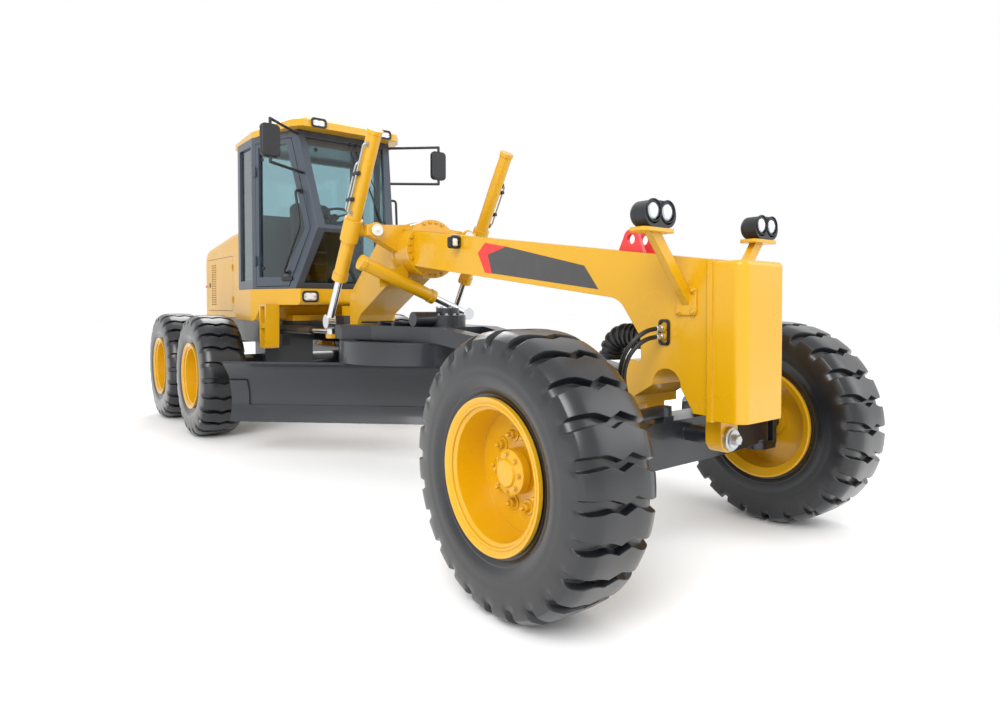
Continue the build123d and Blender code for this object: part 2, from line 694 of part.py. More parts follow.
# Lift rams: yoke on the saddle's arm, barrel on the yoke's trunnion, rod to the drawbar
for side, word in SIDES:
    pin_y = side * arm_y
    face_x = trunnion_x + 45
    with BuildPart() as yoke:
        add(long_bar(pin_y, trunnion_z, face_x + SLIDE_GAP, face_x + 50, 68))
        add(long_bar(pin_y, trunnion_z, face_x + 40, face_x + 62, 46))
        add(block(face_x + 1, face_x + 49, pin_y, side * (lift_y - 95), trunnion_z - 45, trunnion_z + 45))
        cheek = [
            (trunnion_x, trunnion_z - 45),
            (trunnion_x, trunnion_z + 45),
            (face_x + 49, trunnion_z + 45),
            (face_x + 49, trunnion_z - 45),
        ]
        add(side_plate(cheek, side * (lift_y - 122), side * (lift_y - 95)))
        add(cross_bar(trunnion_x, trunnion_z, side * (lift_y - 122), side * (lift_y - 95), 45))
        add(cross_bar(trunnion_x, trunnion_z, side * (lift_y - 100), side * (lift_y - 68), 30))
    save(yoke, "lift_yoke_" + word)

    top = (trunnion_x + lift_slope * 735, side * lift_y, trunnion_z + 735)
    low = (trunnion_x - lift_slope * 402, side * lift_y, trunnion_z - 402)
    eye = (eye_x, side * lift_y, eye_z)
    with BuildPart() as lift_barrel:
        add(bar(low, top, 58))
        add(bar(low, along_ram(low, top, 0.05), 66))
        add(bar(along_ram(low, top, 0.28), along_ram(low, top, 0.43), 75))
        add(bar(along_ram(low, top, 0.975), top, 64))
        add(cross_bar(trunnion_x, trunnion_z, side * (lift_y - 94), side * lift_y, 48))
        pivot_bore = cross_bar(trunnion_x, trunnion_z, side * (lift_y - 140), side * (lift_y - 67), 30 + RUN_GAP)
        add(pivot_bore, mode=Mode.SUBTRACT)
        add(bar(eye, along_ram(low, top, 0.96), 32 + RUN_GAP), mode=Mode.SUBTRACT)
    save(lift_barrel, "lift_barrel_" + word)
    with BuildPart() as lift_rod:
        add(bar(eye, along_ram(low, top, 0.85), 32))
        add(cross_bar(eye_x, eye_z, side * (lift_y - 35), side * (lift_y + 35), 62))
    save(lift_rod, "lift_rod_" + word)

# Centre-shift ram across the machine under the saddle
shift_x = saddle_x - 100
shift_end = (shift_x, -625, 1762)
shift_pin = (shift_x, -300, 1629)
shift_eye = (shift_x, 420, drawbar_top + 95)
with BuildPart() as shift_barrel:
    add(bar(shift_end, along_ram(shift_end, shift_eye, 0.66), 55))
    add(bar(shift_end, along_ram(shift_end, shift_eye, 0.04), 64))
    add(bar(along_ram(shift_end, shift_eye, 0.62), along_ram(shift_end, shift_eye, 0.66), 62))
    add(long_bar(-300, shift_pin[2], shift_x - 60 + SLIDE_GAP, shift_x, 40))
    add(bar(along_ram(shift_end, shift_eye, 0.03), shift_eye, 30 + RUN_GAP), mode=Mode.SUBTRACT)
save(shift_barrel, "shift_barrel")
with BuildPart() as shift_rod:
    add(bar(along_ram(shift_end, shift_eye, 0.12), shift_eye, 30))
    add(long_bar(shift_eye[1], shift_eye[2], shift_x - 30, shift_x + 30, 55))
save(shift_rod, "shift_rod")

# Rear frame: two rails, knuckle block for the hinge, cross members and the tail block
rail_in = 330
rail_out = 420
neck_x = pivot_x - 905
with BuildPart() as rear_frame:
    for side in (-1, 1):
        add(block(tail_x + 150, neck_x + 5, side * rail_in, side * rail_out, FRAME_TOP - 280, FRAME_TOP))
        lug = [(pivot_x - 860, side * 300), (pivot_x - 860, side * 540)]
        lug += [(pivot_x - 740, side * 540), (pivot_x - 740, side * 300)]
        add(floor_plate(lug, 1090, 1130, {1: 55, 2: 55}))
    neck = mirrored([(pivot_x, 108), (pivot_x - 340, 108), (neck_x, rail_out)])
    add(floor_plate(neck, 1112, FRAME_TOP))
    add(block(pivot_x - 340, pivot_x, -108, 108, 1112, 1298))
    add(upright(pivot_x, 0, 1112, 1298, 110))
    add(upright(pivot_x, 0, 1007, 1403, 50))
    cross = rail_in + 5
    add(block(tandem_x - 200, tandem_x + 200, -cross, cross, FRAME_TOP - 280, FRAME_TOP - 40))
    tail = mirrored([(tail_x + 155, 530), (tail_x, 530)])
    add(floor_plate(tail, FRAME_TOP - 390, FRAME_TOP + 10, {1: 60, 2: 60}))
save(rear_frame, "rear_frame")

# Tandem cases with the rear axle between them
with BuildPart() as tandem:
    case_in = wheel_y - 428
    case_out = wheel_y - 268
    for side in (-1, 1):
        case = [
            (mid_axle_x + 190, wheel_z - 190),
            (mid_axle_x + 190, wheel_z + 190),
            (rear_axle_x - 190, wheel_z + 190),
            (rear_axle_x - 190, wheel_z - 190),
        ]
        add(side_plate(case, side * case_in, side * case_out, {0: 150, 1: 150, 2: 150, 3: 150}))
        for x in (mid_axle_x, rear_axle_x):
            add(cross_bar(x, wheel_z, side * (case_out - 10), side * (case_out + 40), 120))
            add(cross_bar(x, wheel_z, side * (case_out - 10), side * (wheel_y + 42), 60))
    add(cross_bar(tandem_x, wheel_z, -case_in - 10, case_in + 10, 150))
    add(block(tandem_x - 190, tandem_x + 190, -300, 300, wheel_z - 90, FRAME_TOP - 280))
save(tandem, "tandem_cases")

# Rams between the frames
hinge_ram_z = 1156
for side, word in SIDES:
    back = (pivot_x - 800, side * 480, hinge_ram_z)
    ahead = (pivot_x + 397, side * 400, hinge_ram_z)
    with BuildPart() as hinge_barrel:
        add(bar(back, along_ram(back, ahead, 0.08), 24))
        add(bar(along_ram(back, ahead, 0.06), along_ram(back, ahead, 0.66), 42))
        add(upright(*back[:2], hinge_ram_z - 25, hinge_ram_z + 25, 50))
        add(bar(along_ram(back, ahead, 0.12), ahead, 24 + RUN_GAP), mode=Mode.SUBTRACT)
    save(hinge_barrel, "hinge_barrel_" + word)
    with BuildPart() as hinge_rod:
        add(bar(along_ram(back, ahead, 0.34), along_ram(back, ahead, 0.98), 24))
        add(upright(*ahead[:2], hinge_ram_z - 25, hinge_ram_z + 25, 48))
    save(hinge_rod, "hinge_rod_" + word)

# Cab: its corner points in side view, all taken from the mid axle and the frame's top
floor_z = FRAME_TOP + FLOOR_RISE
roof_z = floor_z + CAB_HEIGHT
cab_rear = mid_axle_x - 86
post_x = mid_axle_x + 415
front_low = mid_axle_x + 1064
front_kink = mid_axle_x + 1384
front_top = mid_axle_x + 1104
kink_z = floor_z + 0.374 * CAB_HEIGHT
door_slope = 0.34

# Platform under the cab, with a skirt arched over the steps and a step each side
with BuildPart() as platform:
    plan = mirrored([(front_low + 71, 500), (post_x, platform_half), (cab_rear - 55, platform_half)])
    add(floor_plate(plan, FRAME_TOP + 1, floor_z))
    shape = [
        (front_low + 71, floor_z),
        (front_low + 71, floor_z - 166),
        (post_x + 160, floor_z - 166),
        (post_x + 60, FRAME_TOP + 1),
        (cab_rear - 55, FRAME_TOP + 1),
        (cab_rear - 55, floor_z),
    ]
    add(side_plate(shape, -1000, 1000, {1: 50, 2: 90, 3: 60}), mode=Mode.INTERSECT)
    add(block(cab_rear - 55, post_x + 280, -rail_out + 5, rail_out - 5, FRAME_TOP, FRAME_TOP + 60))
    for side in (-1, 1):
        add(square_lamp(front_low + 83, side * 400, floor_z - 80, 160, 105))
        step_in = side * (CAB_HALF - 145)
        step_out = side * (CAB_HALF - 5)
        hanger = [
            (post_x + 180, floor_z - 160),
            (post_x + 200, FRAME_TOP - 280),
            (post_x + 380, FRAME_TOP - 280),
            (post_x + 400, floor_z - 160),
        ]
        with BuildPart(mode=Mode.PRIVATE) as step:
            add(side_plate(hanger, step_in, step_out, {1: 30, 2: 30}))
            for z in (FRAME_TOP - 245, FRAME_TOP - 20):
                add(block(post_x + 222, post_x + 358, step_in * 0.5, step_out * 1.5, z, z + 175), mode=Mode.SUBTRACT)
        add(step.part)
save(platform, "cab_platform")


def side_y(x):
    """Half-width of the cab's door plane at x."""
    return CAB_HALF - door_slope * (x - post_x)


def door_cut(outline, side):
    """A cutter square to the door's plane, from an outline in x and z."""
    stretch = hypot(1, door_slope)
    plane = Plane(
        origin=(post_x, side * CAB_HALF, 0),
        x_dir=(1, -side * door_slope, 0),
        z_dir=(-side * door_slope, -1, 0),
    )
    with BuildPart() as body:
        with BuildSketch(plane):
            with BuildLine():
                Polyline(*[((x - post_x) * stretch, z) for x, z in outline], close=True)
            make_face()
        extrude(amount=110, both=True)
    return body.part


def cab_form(inset):
    """The cab's closed form, set in by a wall thickness."""
    lift = inset * 0.6
    plan = mirrored(
        [
            (front_kink, side_y(front_kink) - inset * 1.06),
            (post_x, CAB_HALF - inset * 1.03),
            (cab_rear + inset, CAB_HALF - inset),
        ]
    )
    with BuildPart() as form:
        add(floor_plate(plan, floor_z + lift, roof_z - lift))
        profile = [
            (cab_rear, floor_z),
            (front_low - inset * 1.1, floor_z),
            (front_kink - inset * 1.1, kink_z),
            (front_top - inset * 1.04, roof_z),
            (cab_rear, roof_z),
        ]
        add(side_plate(profile, -1000, 1000), mode=Mode.INTERSECT)
    return form.part


def cab_layer(outer, inner):
    """The part of the cab's walls between two depths."""
    with BuildPart() as body:
        add(cab_form(outer))
        add(cab_form(inner), mode=Mode.SUBTRACT)
    return body.part


def door_shape(frame):
    """The door's outline, set in from its opening by frame all round."""
    return [
        (post_x + 55 + frame, floor_z + 25 + frame),
        (front_low - 85 - 1.6 * frame, floor_z + 25 + frame),
        (front_kink - 95 - 1.5 * frame, kink_z),
        (front_top - 80 - 1.6 * frame, roof_z - 70 - frame),
        (post_x + 55 + frame, roof_z - 70 - frame),
    ]


# Openings: door windows leave a slim frame, deeper at the sill
door_window = door_shape(DOOR_GAP + 45)
door_window[0] = (door_window[0][0], floor_z + 125)
door_window[1] = (door_window[1][0] - 15, floor_z + 125)
rear_window = [
    (cab_rear + CAB_WALL + 15, floor_z + 95),
    (post_x - 30, floor_z + 95),
    (post_x - 30, roof_z - 80),
    (cab_rear + CAB_WALL + 15, roof_z - 80),
]
pillar = CAB_WALL * 1.06 + 14
low_half = side_y(front_low) - pillar
kink_half = side_y(front_kink) - pillar
top_half = side_y(front_top) - pillar
front_upper = [(-kink_half, kink_z + 35), (kink_half, kink_z + 35), (top_half, roof_z - 70), (-top_half, roof_z - 70)]
front_lower = [(-low_half, floor_z + 60), (low_half, floor_z + 60), (kink_half, kink_z - 35), (-kink_half, kink_z - 35)]
back_half = CAB_HALF - 150
back_pane = [(-back_half, floor_z + 863), (back_half, floor_z + 863), (back_half, roof_z - 80), (-back_half, roof_z - 80)]
wall_x = (front_low - 109, front_kink + 100)

walls = cab_layer(0, CAB_WALL)
hinge_heights = (floor_z + 250, roof_z - 420)
with BuildPart() as cab_shell:
    add(walls)
    for side in (-1, 1):
        add(door_cut(door_shape(0), side), mode=Mode.SUBTRACT)
        add(side_plate(rear_window, side * 300, side * 1000), mode=Mode.SUBTRACT)
    add(cross_plate(front_upper, *wall_x), mode=Mode.SUBTRACT)
    add(cross_plate(front_lower, *wall_x), mode=Mode.SUBTRACT)
    add(cross_plate(back_pane, cab_rear - 20, cab_rear + 100), mode=Mode.SUBTRACT)
    for side in (-1, 1):
        for z in hinge_heights:
            hinge_y = side * (CAB_HALF - 10)
            add(upright(post_x + 60, hinge_y, z, z + 50, 20))
            add(upright(post_x + 60, hinge_y, z + 50, z + 100, 20 + RUN_GAP), mode=Mode.SUBTRACT)
save(cab_shell, "cab_shell")

# Panes in the middle of the walls
pane_layer = cab_layer(0.4 * CAB_WALL, 0.4 * CAB_WALL + PANE)
with BuildPart() as cab_glass:
    with BuildPart(mode=Mode.PRIVATE) as openings:
        for side in (-1, 1):
            add(side_plate(rear_window, side * 500, side * 1000))
        add(cross_plate(front_upper, *wall_x))
        add(cross_plate(front_lower, *wall_x))
        add(cross_plate(back_pane, cab_rear - 20, cab_rear + 100))
    add(pane_layer)
    add(openings.part, mode=Mode.INTERSECT)
save(cab_glass, "cab_glass")

# Doors hung on the rear post, with their panes
for side, word in SIDES:
    with BuildPart() as door:
        add(walls)
        add(door_cut(door_shape(DOOR_GAP + 1), side), mode=Mode.INTERSECT)
        add(door_cut(door_window, side), mode=Mode.SUBTRACT)
        for z in hinge_heights:
            hinge_y = side * (CAB_HALF - 10)
            add(upright(post_x + 60, hinge_y, z + 50 + RUN_GAP, z + 100, 20))
            add(upright(post_x + 60, hinge_y, z, z + 50, 20 + RUN_GAP), mode=Mode.SUBTRACT)
    save(door, "door_" + word)
    with BuildPart() as door_glass:
        add(pane_layer)
        add(door_cut(door_window, side), mode=Mode.INTERSECT)
    save(door_glass, "door_glass_" + word)

# Roof: a slab that overhangs the cab, sloped in at its top edge, with two lamps and a beacon
roof_front = front_top + 176
with BuildPart() as cab_roof:
    plan = mirrored(
        [
            (roof_front, side_y(front_kink) + 98),
            (roof_front - 125, side_y(front_kink) + 185),
            (post_x, CAB_HALF - 5),
            (cab_rear - 229, CAB_HALF - 45),
        ]
    )
    add(floor_plate(plan, roof_z, roof_z + ROOF_DEPTH - 40))
    with BuildSketch(Plane.XY.offset(roof_z + ROOF_DEPTH - 40)):
        with BuildLine():
            Polyline(*plan, close=True)
        make_face()
    extrude(amount=40, taper=55)
    for side in (-1, 1):
        add(square_lamp(roof_front + 22, side * 360, roof_z + 44, 150, 84))
    add(upright(cab_rear + 161, 0, roof_z + ROOF_DEPTH - 10, roof_z + ROOF_DEPTH + 30, 75))
    add(upright(cab_rear + 161, 0, roof_z + ROOF_DEPTH + 20, roof_z + ROOF_DEPTH + 120, 58))
    fillet(cab_roof.faces().sort_by(Axis.Z)[-1].edges(), 25)
save(cab_roof, "cab_roof")

# Seat, console and steering wheel
deck_z = floor_z + CAB_WALL * 0.6
seat_x = post_x - 30
with BuildPart() as cab_interior:
    base = [(seat_x - 160, deck_z), (seat_x - 110, deck_z + 250), (seat_x + 60, deck_z + 250), (seat_x + 90, deck_z)]
    add(side_plate(base, -200, 200))
    cushion = [
        (seat_x - 240, deck_z + 250),
        (seat_x - 240, deck_z + 400),
        (seat_x + 230, deck_z + 410),
        (seat_x + 230, deck_z + 250),
    ]
    add(side_plate(cushion, -250, 250, {2: 60, 3: 40}))
    backrest = [
        (seat_x - 240, deck_z + 300),
        (seat_x - 330, deck_z + 1000),
        (seat_x - 230, deck_z + 1000),
        (seat_x - 130, deck_z + 390),
    ]
    add(side_plate(backrest, -250, 250, {1: 40, 2: 45}))
    column = [
        (front_low - 260, deck_z),
        (front_low - 240, deck_z + 560),
        (front_low - 300, deck_z + 700),
        (front_low - 60, deck_z + 640),
        (front_low - 130, deck_z),
    ]
    add(side_plate(column, -130, 130, {2: 30, 3: 40}))
    wheel_plane = Plane(origin=(front_low - 255, 0, deck_z + 765), z_dir=(-0.45, 0, 1))
    add(bar((front_low - 225, 0, deck_z + 640), (front_low - 255, 0, deck_z + 765), 22))
    with BuildPart(wheel_plane, mode=Mode.PRIVATE) as steering_wheel:
        Torus(165, 15)
        Box(330, 28, 16)
    add(steering_wheel.part)
save(cab_interior, "cab_interior")

# Hood over the engine: rounded along its top, louvred at the back, a door on each side
hood_front = cab_rear - 56
hood_rear = tail_x + 130
hood_bend = hood_front - 1283
door_x0 = hood_rear + 170
door_x1 = hood_front - 1233
door_z0 = FRAME_TOP + 90
door_z1 = FRAME_TOP + 810
hood_low = FRAME_TOP + 1
hood_top = FRAME_TOP + 1160


def hood_form(inset, low, half):
    """The hood's closed form, set in by a wall thickness."""
    outline = [
        (hood_front - inset, low),
        (hood_front - inset, hood_top - inset),
        (hood_bend, hood_top - 60 - inset),
        (hood_rear + inset, hood_top - 210 - inset),
        (hood_rear + inset, low + 10),
    ]
    return side_plate(outline, -half, half, {3: 220 - inset})


with BuildPart() as hood:
    add(hood_form(0, hood_low, HOOD_HALF))
    ridges = hood.edges().filter_by(lambda e: abs(abs(e.center().Y) - HOOD_HALF) < 1 and e.center().Z > hood_top - 190)
    fillet(ridges, HOOD_ROUND)
    add(hood_form(HOOD_WALL, hood_low - 150, HOOD_HALF - HOOD_WALL), mode=Mode.SUBTRACT)
    for side in (-1, 1):
        opening = block(door_x0, door_x1, side * (HOOD_HALF - 60), side * (HOOD_HALF + 60), door_z0, door_z1)
        add(opening, mode=Mode.SUBTRACT)
    # radiator louvres in the rear wall
    for row in range(8):
        z = FRAME_TOP + 150 + 78 * row
        add(block(hood_rear - 50, hood_rear + 90, -HOOD_HALF + 120, HOOD_HALF - 120, z, z + 40), mode=Mode.SUBTRACT)
    for side in (-1, 1):
        for z in (door_z0 + 110, door_z1 - 190):
            hinge_y = side * (HOOD_HALF + 5)
            add(upright(door_x1 - 5, hinge_y, z, z + 40, 12))
            add(upright(door_x1 - 5, hinge_y, z + 40, z + 80, 12 + RUN_GAP), mode=Mode.SUBTRACT)
save(hood, "hood")

# Hood doors, with three columns of air slots towards the rear and a sunk latch
for side, word in SIDES:
    with BuildPart() as hood_door:
        outer = side * HOOD_HALF
        inner = side * (HOOD_HALF - HOOD_WALL)
        add(block(door_x0 + DOOR_GAP, door_x1 - DOOR_GAP, inner, outer, door_z0 + DOOR_GAP, door_z1 - DOOR_GAP))
        slot_x = door_x0 + 290
        with Locations((slot_x, side * (HOOD_HALF - 20), (door_z0 + door_z1) / 2)):
            with Locations(Rotation(90, 0, 0)):
                with GridLocations(85, 32, 3, 18):
                    Box(60, 15, 3 * HOOD_WALL, mode=Mode.SUBTRACT)
        latch = block(door_x0 + 45, door_x0 + 135, outer - side * 15, outer + side * 15, door_z0 + 330, door_z0 + 390)
        add(latch, mode=Mode.SUBTRACT)
        for z in (door_z0 + 110, door_z1 - 190):
            hinge_y = side * (HOOD_HALF + 5)
            add(upright(door_x1 - 5, hinge_y, z + 40 + RUN_GAP, z + 80, 12))
            add(upright(door_x1 - 5, hinge_y, z, z + 40, 12 + RUN_GAP), mode=Mode.SUBTRACT)
    save(hood_door, "hood_door_" + word)

# Engine as one block on the rails
with BuildPart() as engine:
    engine_half = HOOD_HALF - HOOD_WALL - 40
    add(block(hood_rear + 420, hood_front - 783, -engine_half, engine_half, FRAME_TOP, FRAME_TOP + 610))
save(engine, "engine")


def mirror_head(side):
    """A mirror in its rounded shell."""
    with BuildPart() as body:
        with BuildSketch(Plane.YZ.offset(front_kink + 95)):
            with Locations((side * (CAB_HALF + 165), roof_z - 250)):
                RectangleRounded(180, 310, 45)
        extrude(amount=48)
        fillet(body.faces().sort_by(Axis.X)[-1].edges(), 22)
    return body.part


# Mirrors, each on a bent loop of tube from the cab's front pillar
with BuildPart() as mirrors:
    for side in (-1, 1):
        add(mirror_head(side))
        tube_x = front_kink + 119
        far_y = side * (CAB_HALF + 165)
        loop = [
            (front_top - 50, side * (side_y(front_top) - 60), roof_z - 48),
            (tube_x, far_y, roof_z - 48),
            (tube_x, far_y, roof_z - 450),
            (front_top + 60, side * (side_y(front_top + 60) - 30), roof_z - 450),
        ]
        for start, end in zip(loop, loop[1:]):
            add(bar(start, end, 14))
        for corner in loop[1:3]:
            with Locations(corner):
                Sphere(14)
    add(cab_form(0), mode=Mode.SUBTRACT)
save(mirrors, "mirrors")
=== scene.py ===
# %% [markdown]
# # A motor grader in its studio finish
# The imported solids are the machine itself: every frame, ram, wheel and pane is already in place.
# This lesson dresses them. Each step says what a piece or finish is on the real machine, how it
# could be made in Blender, and why it is made this way here.

# %% Load the machine
import json
import math

import bmesh
import bpy
from mathutils import Matrix, Vector


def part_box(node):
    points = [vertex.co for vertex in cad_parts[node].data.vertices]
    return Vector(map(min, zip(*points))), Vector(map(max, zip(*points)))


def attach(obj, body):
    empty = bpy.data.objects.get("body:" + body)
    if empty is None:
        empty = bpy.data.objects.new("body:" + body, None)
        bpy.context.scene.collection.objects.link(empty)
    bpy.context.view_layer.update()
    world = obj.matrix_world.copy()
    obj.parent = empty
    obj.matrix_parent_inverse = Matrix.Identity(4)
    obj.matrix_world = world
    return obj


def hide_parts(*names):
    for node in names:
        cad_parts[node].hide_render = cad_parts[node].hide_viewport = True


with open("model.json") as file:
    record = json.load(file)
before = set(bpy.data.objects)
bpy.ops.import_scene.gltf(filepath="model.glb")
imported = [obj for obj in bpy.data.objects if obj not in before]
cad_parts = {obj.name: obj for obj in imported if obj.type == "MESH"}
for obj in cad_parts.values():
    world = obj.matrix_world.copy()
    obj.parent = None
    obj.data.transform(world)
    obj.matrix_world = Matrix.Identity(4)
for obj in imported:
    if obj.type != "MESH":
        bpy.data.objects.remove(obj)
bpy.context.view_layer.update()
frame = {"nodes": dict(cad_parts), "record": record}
nodes = frame["nodes"]

# %% [markdown]
# ## Colours and nodes
# Paint makers quote colours as screen hex values, while Blender's shaders want linear light.
# One function converts. A second one adds a shader node, sets its options and links it, so
# each finish below reads as a short recipe.

# %% Colour and node helpers
MM = 0.001


def linear(hex_code):
    """An sRGB hex colour as linear RGBA."""
    parts = [int(hex_code[i : i + 2], 16) / 255 for i in (1, 3, 5)]
    return [c / 12.92 if c <= 0.04045 else ((c + 0.055) / 1.055) ** 2.4 for c in parts] + [1.0]


def put(tree, kind, inputs=None, **options):
    """Add one node with its options, and set or link its inputs."""
    node = tree.nodes.new(kind)
    for name, value in options.items():
        setattr(node, name, value)
    for name, value in (inputs or {}).items():
        if isinstance(value, bpy.types.NodeSocket):
            tree.links.new(value, node.inputs[name])
        else:
            node.inputs[name].default_value = value
    return node


def new_finish(name):
    """An empty node material and its tree."""
    finish = bpy.data.materials.new(name)
    finish.use_nodes = True
    finish.node_tree.nodes.clear()
    return finish, finish.node_tree


print("helpers ready")

# %% [markdown]
# ## Sprayed enamel
# Most of the machine is welded plate under sprayed enamel. To the eye that is a smooth, glossy
# colour with a faint orange-peel ripple, slightly paler where dust has settled on upward faces,
# and rubbed dull along the edges. The Bevel node finds edges: where its rounded normal departs
# from the true one, the paint is worn. It also rounds the plate edges, which real plates have.

# %% Enamel recipe
def enamel(name, hex_code, dust_hex, edge_hex, roughness, coat):
    """Sprayed enamel on steel plate, with orange peel, settled dust and rubbed edges."""
    finish, tree = new_finish(name)
    place = put(tree, "ShaderNodeTexCoord").outputs["Object"]
    # orange peel is 2 to 3 mm on the real paint, drawn at 9 mm so that it shows
    peel = put(tree, "ShaderNodeTexNoise", {"Vector": place, "Scale": 1 / (9 * MM), "Detail": 1.0})
    # patches of fade and dust are about 400 mm across
    patches = {"Vector": place, "Scale": 1 / (400 * MM), "Detail": 4.0}
    patch = put(tree, "ShaderNodeTexNoise", patches).outputs["Fac"]
    eased = put(tree, "ShaderNodeBevel", {"Radius": 7 * MM}, samples=4).outputs[0]
    flat = put(tree, "ShaderNodeNewGeometry").outputs["Normal"]
    bend = put(tree, "ShaderNodeVectorMath", {0: eased, 1: flat}, operation="DISTANCE").outputs["Value"]
    rub = put(tree, "ShaderNodeMath", {0: bend, 1: patch}, operation="MULTIPLY").outputs[0]
    span = {"From Min": 0.16, "From Max": 0.5, "To Max": 0.6}
    worn = put(tree, "ShaderNodeMapRange", {"Value": rub, **span}).outputs[0]
    up = put(tree, "ShaderNodeSeparateXYZ", {0: flat}).outputs["Z"]
    lying = put(tree, "ShaderNodeMath", {0: up, 1: patch}, operation="MULTIPLY").outputs[0]
    span = {"From Min": 0.35, "From Max": 0.95, "To Max": 0.3}
    dusty = put(tree, "ShaderNodeMapRange", {"Value": lying, **span}).outputs[0]
    colours = {"Factor": dusty, 6: linear(hex_code), 7: linear(dust_hex)}
    shade = put(tree, "ShaderNodeMix", colours, data_type="RGBA").outputs[2]
    colours = {"Factor": worn, 6: shade, 7: linear(edge_hex)}
    colour = put(tree, "ShaderNodeMix", colours, data_type="RGBA").outputs[2]
    span = {"From Min": 0.3, "From Max": 0.8, "To Min": roughness - 0.05, "To Max": roughness + 0.1}
    gloss = put(tree, "ShaderNodeMapRange", {"Value": patch, **span}).outputs[0]
    height = {"Height": peel.outputs["Fac"], "Strength": 0.06, "Distance": 1 * MM, "Normal": eased}
    ripple = put(tree, "ShaderNodeBump", height).outputs[0]
    look = {"Base Color": colour, "Roughness": gloss, "Normal": ripple, "IOR": 1.5}
    clear = {"Coat Weight": coat, "Coat Roughness": 0.08}
    paint = put(tree, "ShaderNodeBsdfPrincipled", {**look, **clear})
    put(tree, "ShaderNodeOutputMaterial", {"Surface": paint.outputs[0]})
    return finish


yellow_enamel = enamel("sprayed_enamel_yellow", "#d09c06", "#d2a626", "#a87818", 0.3, 0.3)
slate_enamel = enamel("sprayed_enamel_slate", "#1b1f26", "#3c4149", "#4d535c", 0.34, 0.3)
cab_enamel = enamel("sprayed_enamel_cab_grey", "#39424e", "#505a66", "#68717b", 0.36, 0.25)
red_enamel = enamel("sprayed_enamel_red", "#d22f33", "#d6585c", "#98292c", 0.35, 0.3)
print("enamels: yellow, slate, cab grey, red")

# %% [markdown]
# ## Chrome, zinc and silvering
# Ram rods are ground steel under hard chrome, so they mirror the studio with fine lines from
# grinding. Bolts are zinc plated and duller. Mirror glass is silvered behind and nearly perfect.
# All three are metals whose roughness wanders a little, so one recipe serves them.

# %% Plated metals
def plated(name, hex_code, low, high, line_mm):
    """Plated steel: a metal whose roughness wanders and whose face has fine lines."""
    finish, tree = new_finish(name)
    place = put(tree, "ShaderNodeTexCoord").outputs["Object"]
    fine = {"Vector": place, "Scale": 1 / (line_mm * MM), "Detail": 2.0}
    lines = put(tree, "ShaderNodeTexNoise", fine).outputs["Fac"]
    # the film of oil and handling lies in patches about 110 mm across
    haze = put(tree, "ShaderNodeTexNoise", {"Vector": place, "Scale": 9.0, "Detail": 3.0}).outputs["Fac"]
    rough = put(tree, "ShaderNodeMapRange", {"Value": haze, "To Min": low, "To Max": high}).outputs[0]
    scratch = put(tree, "ShaderNodeBump", {"Height": lines, "Strength": 0.05, "Distance": 1 * MM})
    look = {"Base Color": linear(hex_code), "Metallic": 1.0, "Roughness": rough}
    metal = put(tree, "ShaderNodeBsdfPrincipled", {**look, "Normal": scratch.outputs[0]})
    put(tree, "ShaderNodeOutputMaterial", {"Surface": metal.outputs[0]})
    return finish


# grinding lines are under 0.1 mm apart, drawn at 3 mm so that they show
chrome = plated("hard_chrome_ground_rod", "#d9dbde", 0.08, 0.22, 3)
# crystals of the zinc are finer than 0.1 mm, drawn at 2 mm so that they show
zinc = plated("zinc_plated_steel", "#b9bcbe", 0.28, 0.45, 2)
# glass waves by about 40 mm
mirror_silver = plated("silvered_mirror_glass", "#dfe5ea", 0.02, 0.05, 40)
print("metals: chrome, zinc, silver")

# %% [markdown]
# ## Cab glass
# The panes are laminated safety glass with a green-blue tint in the body. A fully transmissive
# surface gives real reflections and lets the seat show through, and faint smears break its gloss.

# %% Glass recipe
def tinted_glass():
    """Laminated safety glass: clear gloss with a pale green-blue body tint."""
    finish, tree = new_finish("laminated_glass_tinted")
    place = put(tree, "ShaderNodeTexCoord").outputs["Object"]
    # wiper smears and dried drops are about 60 mm across
    smear = put(tree, "ShaderNodeTexNoise", {"Vector": place, "Scale": 1 / (60 * MM), "Detail": 3.0})
    span = {"From Min": 0.4, "To Min": 0.01, "To Max": 0.06}
    rough = put(tree, "ShaderNodeMapRange", {"Value": smear.outputs["Fac"], **span}).outputs[0]
    look = {"Base Color": linear("#b4cfd4"), "Roughness": rough, "IOR": 1.5, "Transmission Weight": 1.0}
    pane = put(tree, "ShaderNodeBsdfPrincipled", look)
    put(tree, "ShaderNodeOutputMaterial", {"Surface": pane.outputs[0]})
    return finish


glass = tinted_glass()
print("glass ready")

# %% [markdown]
# ## Rubber, plastics and castings
# Tyres are vulcanised rubber: nearly black, with a soft sheen. Lamp bodies and mirrors are moulded
# plastic with a fine spark-eroded grain, and the engine is a painted casting. They differ in
# colour, gloss and grain but are built alike: a body colour, a paler scuffing and an even grain.

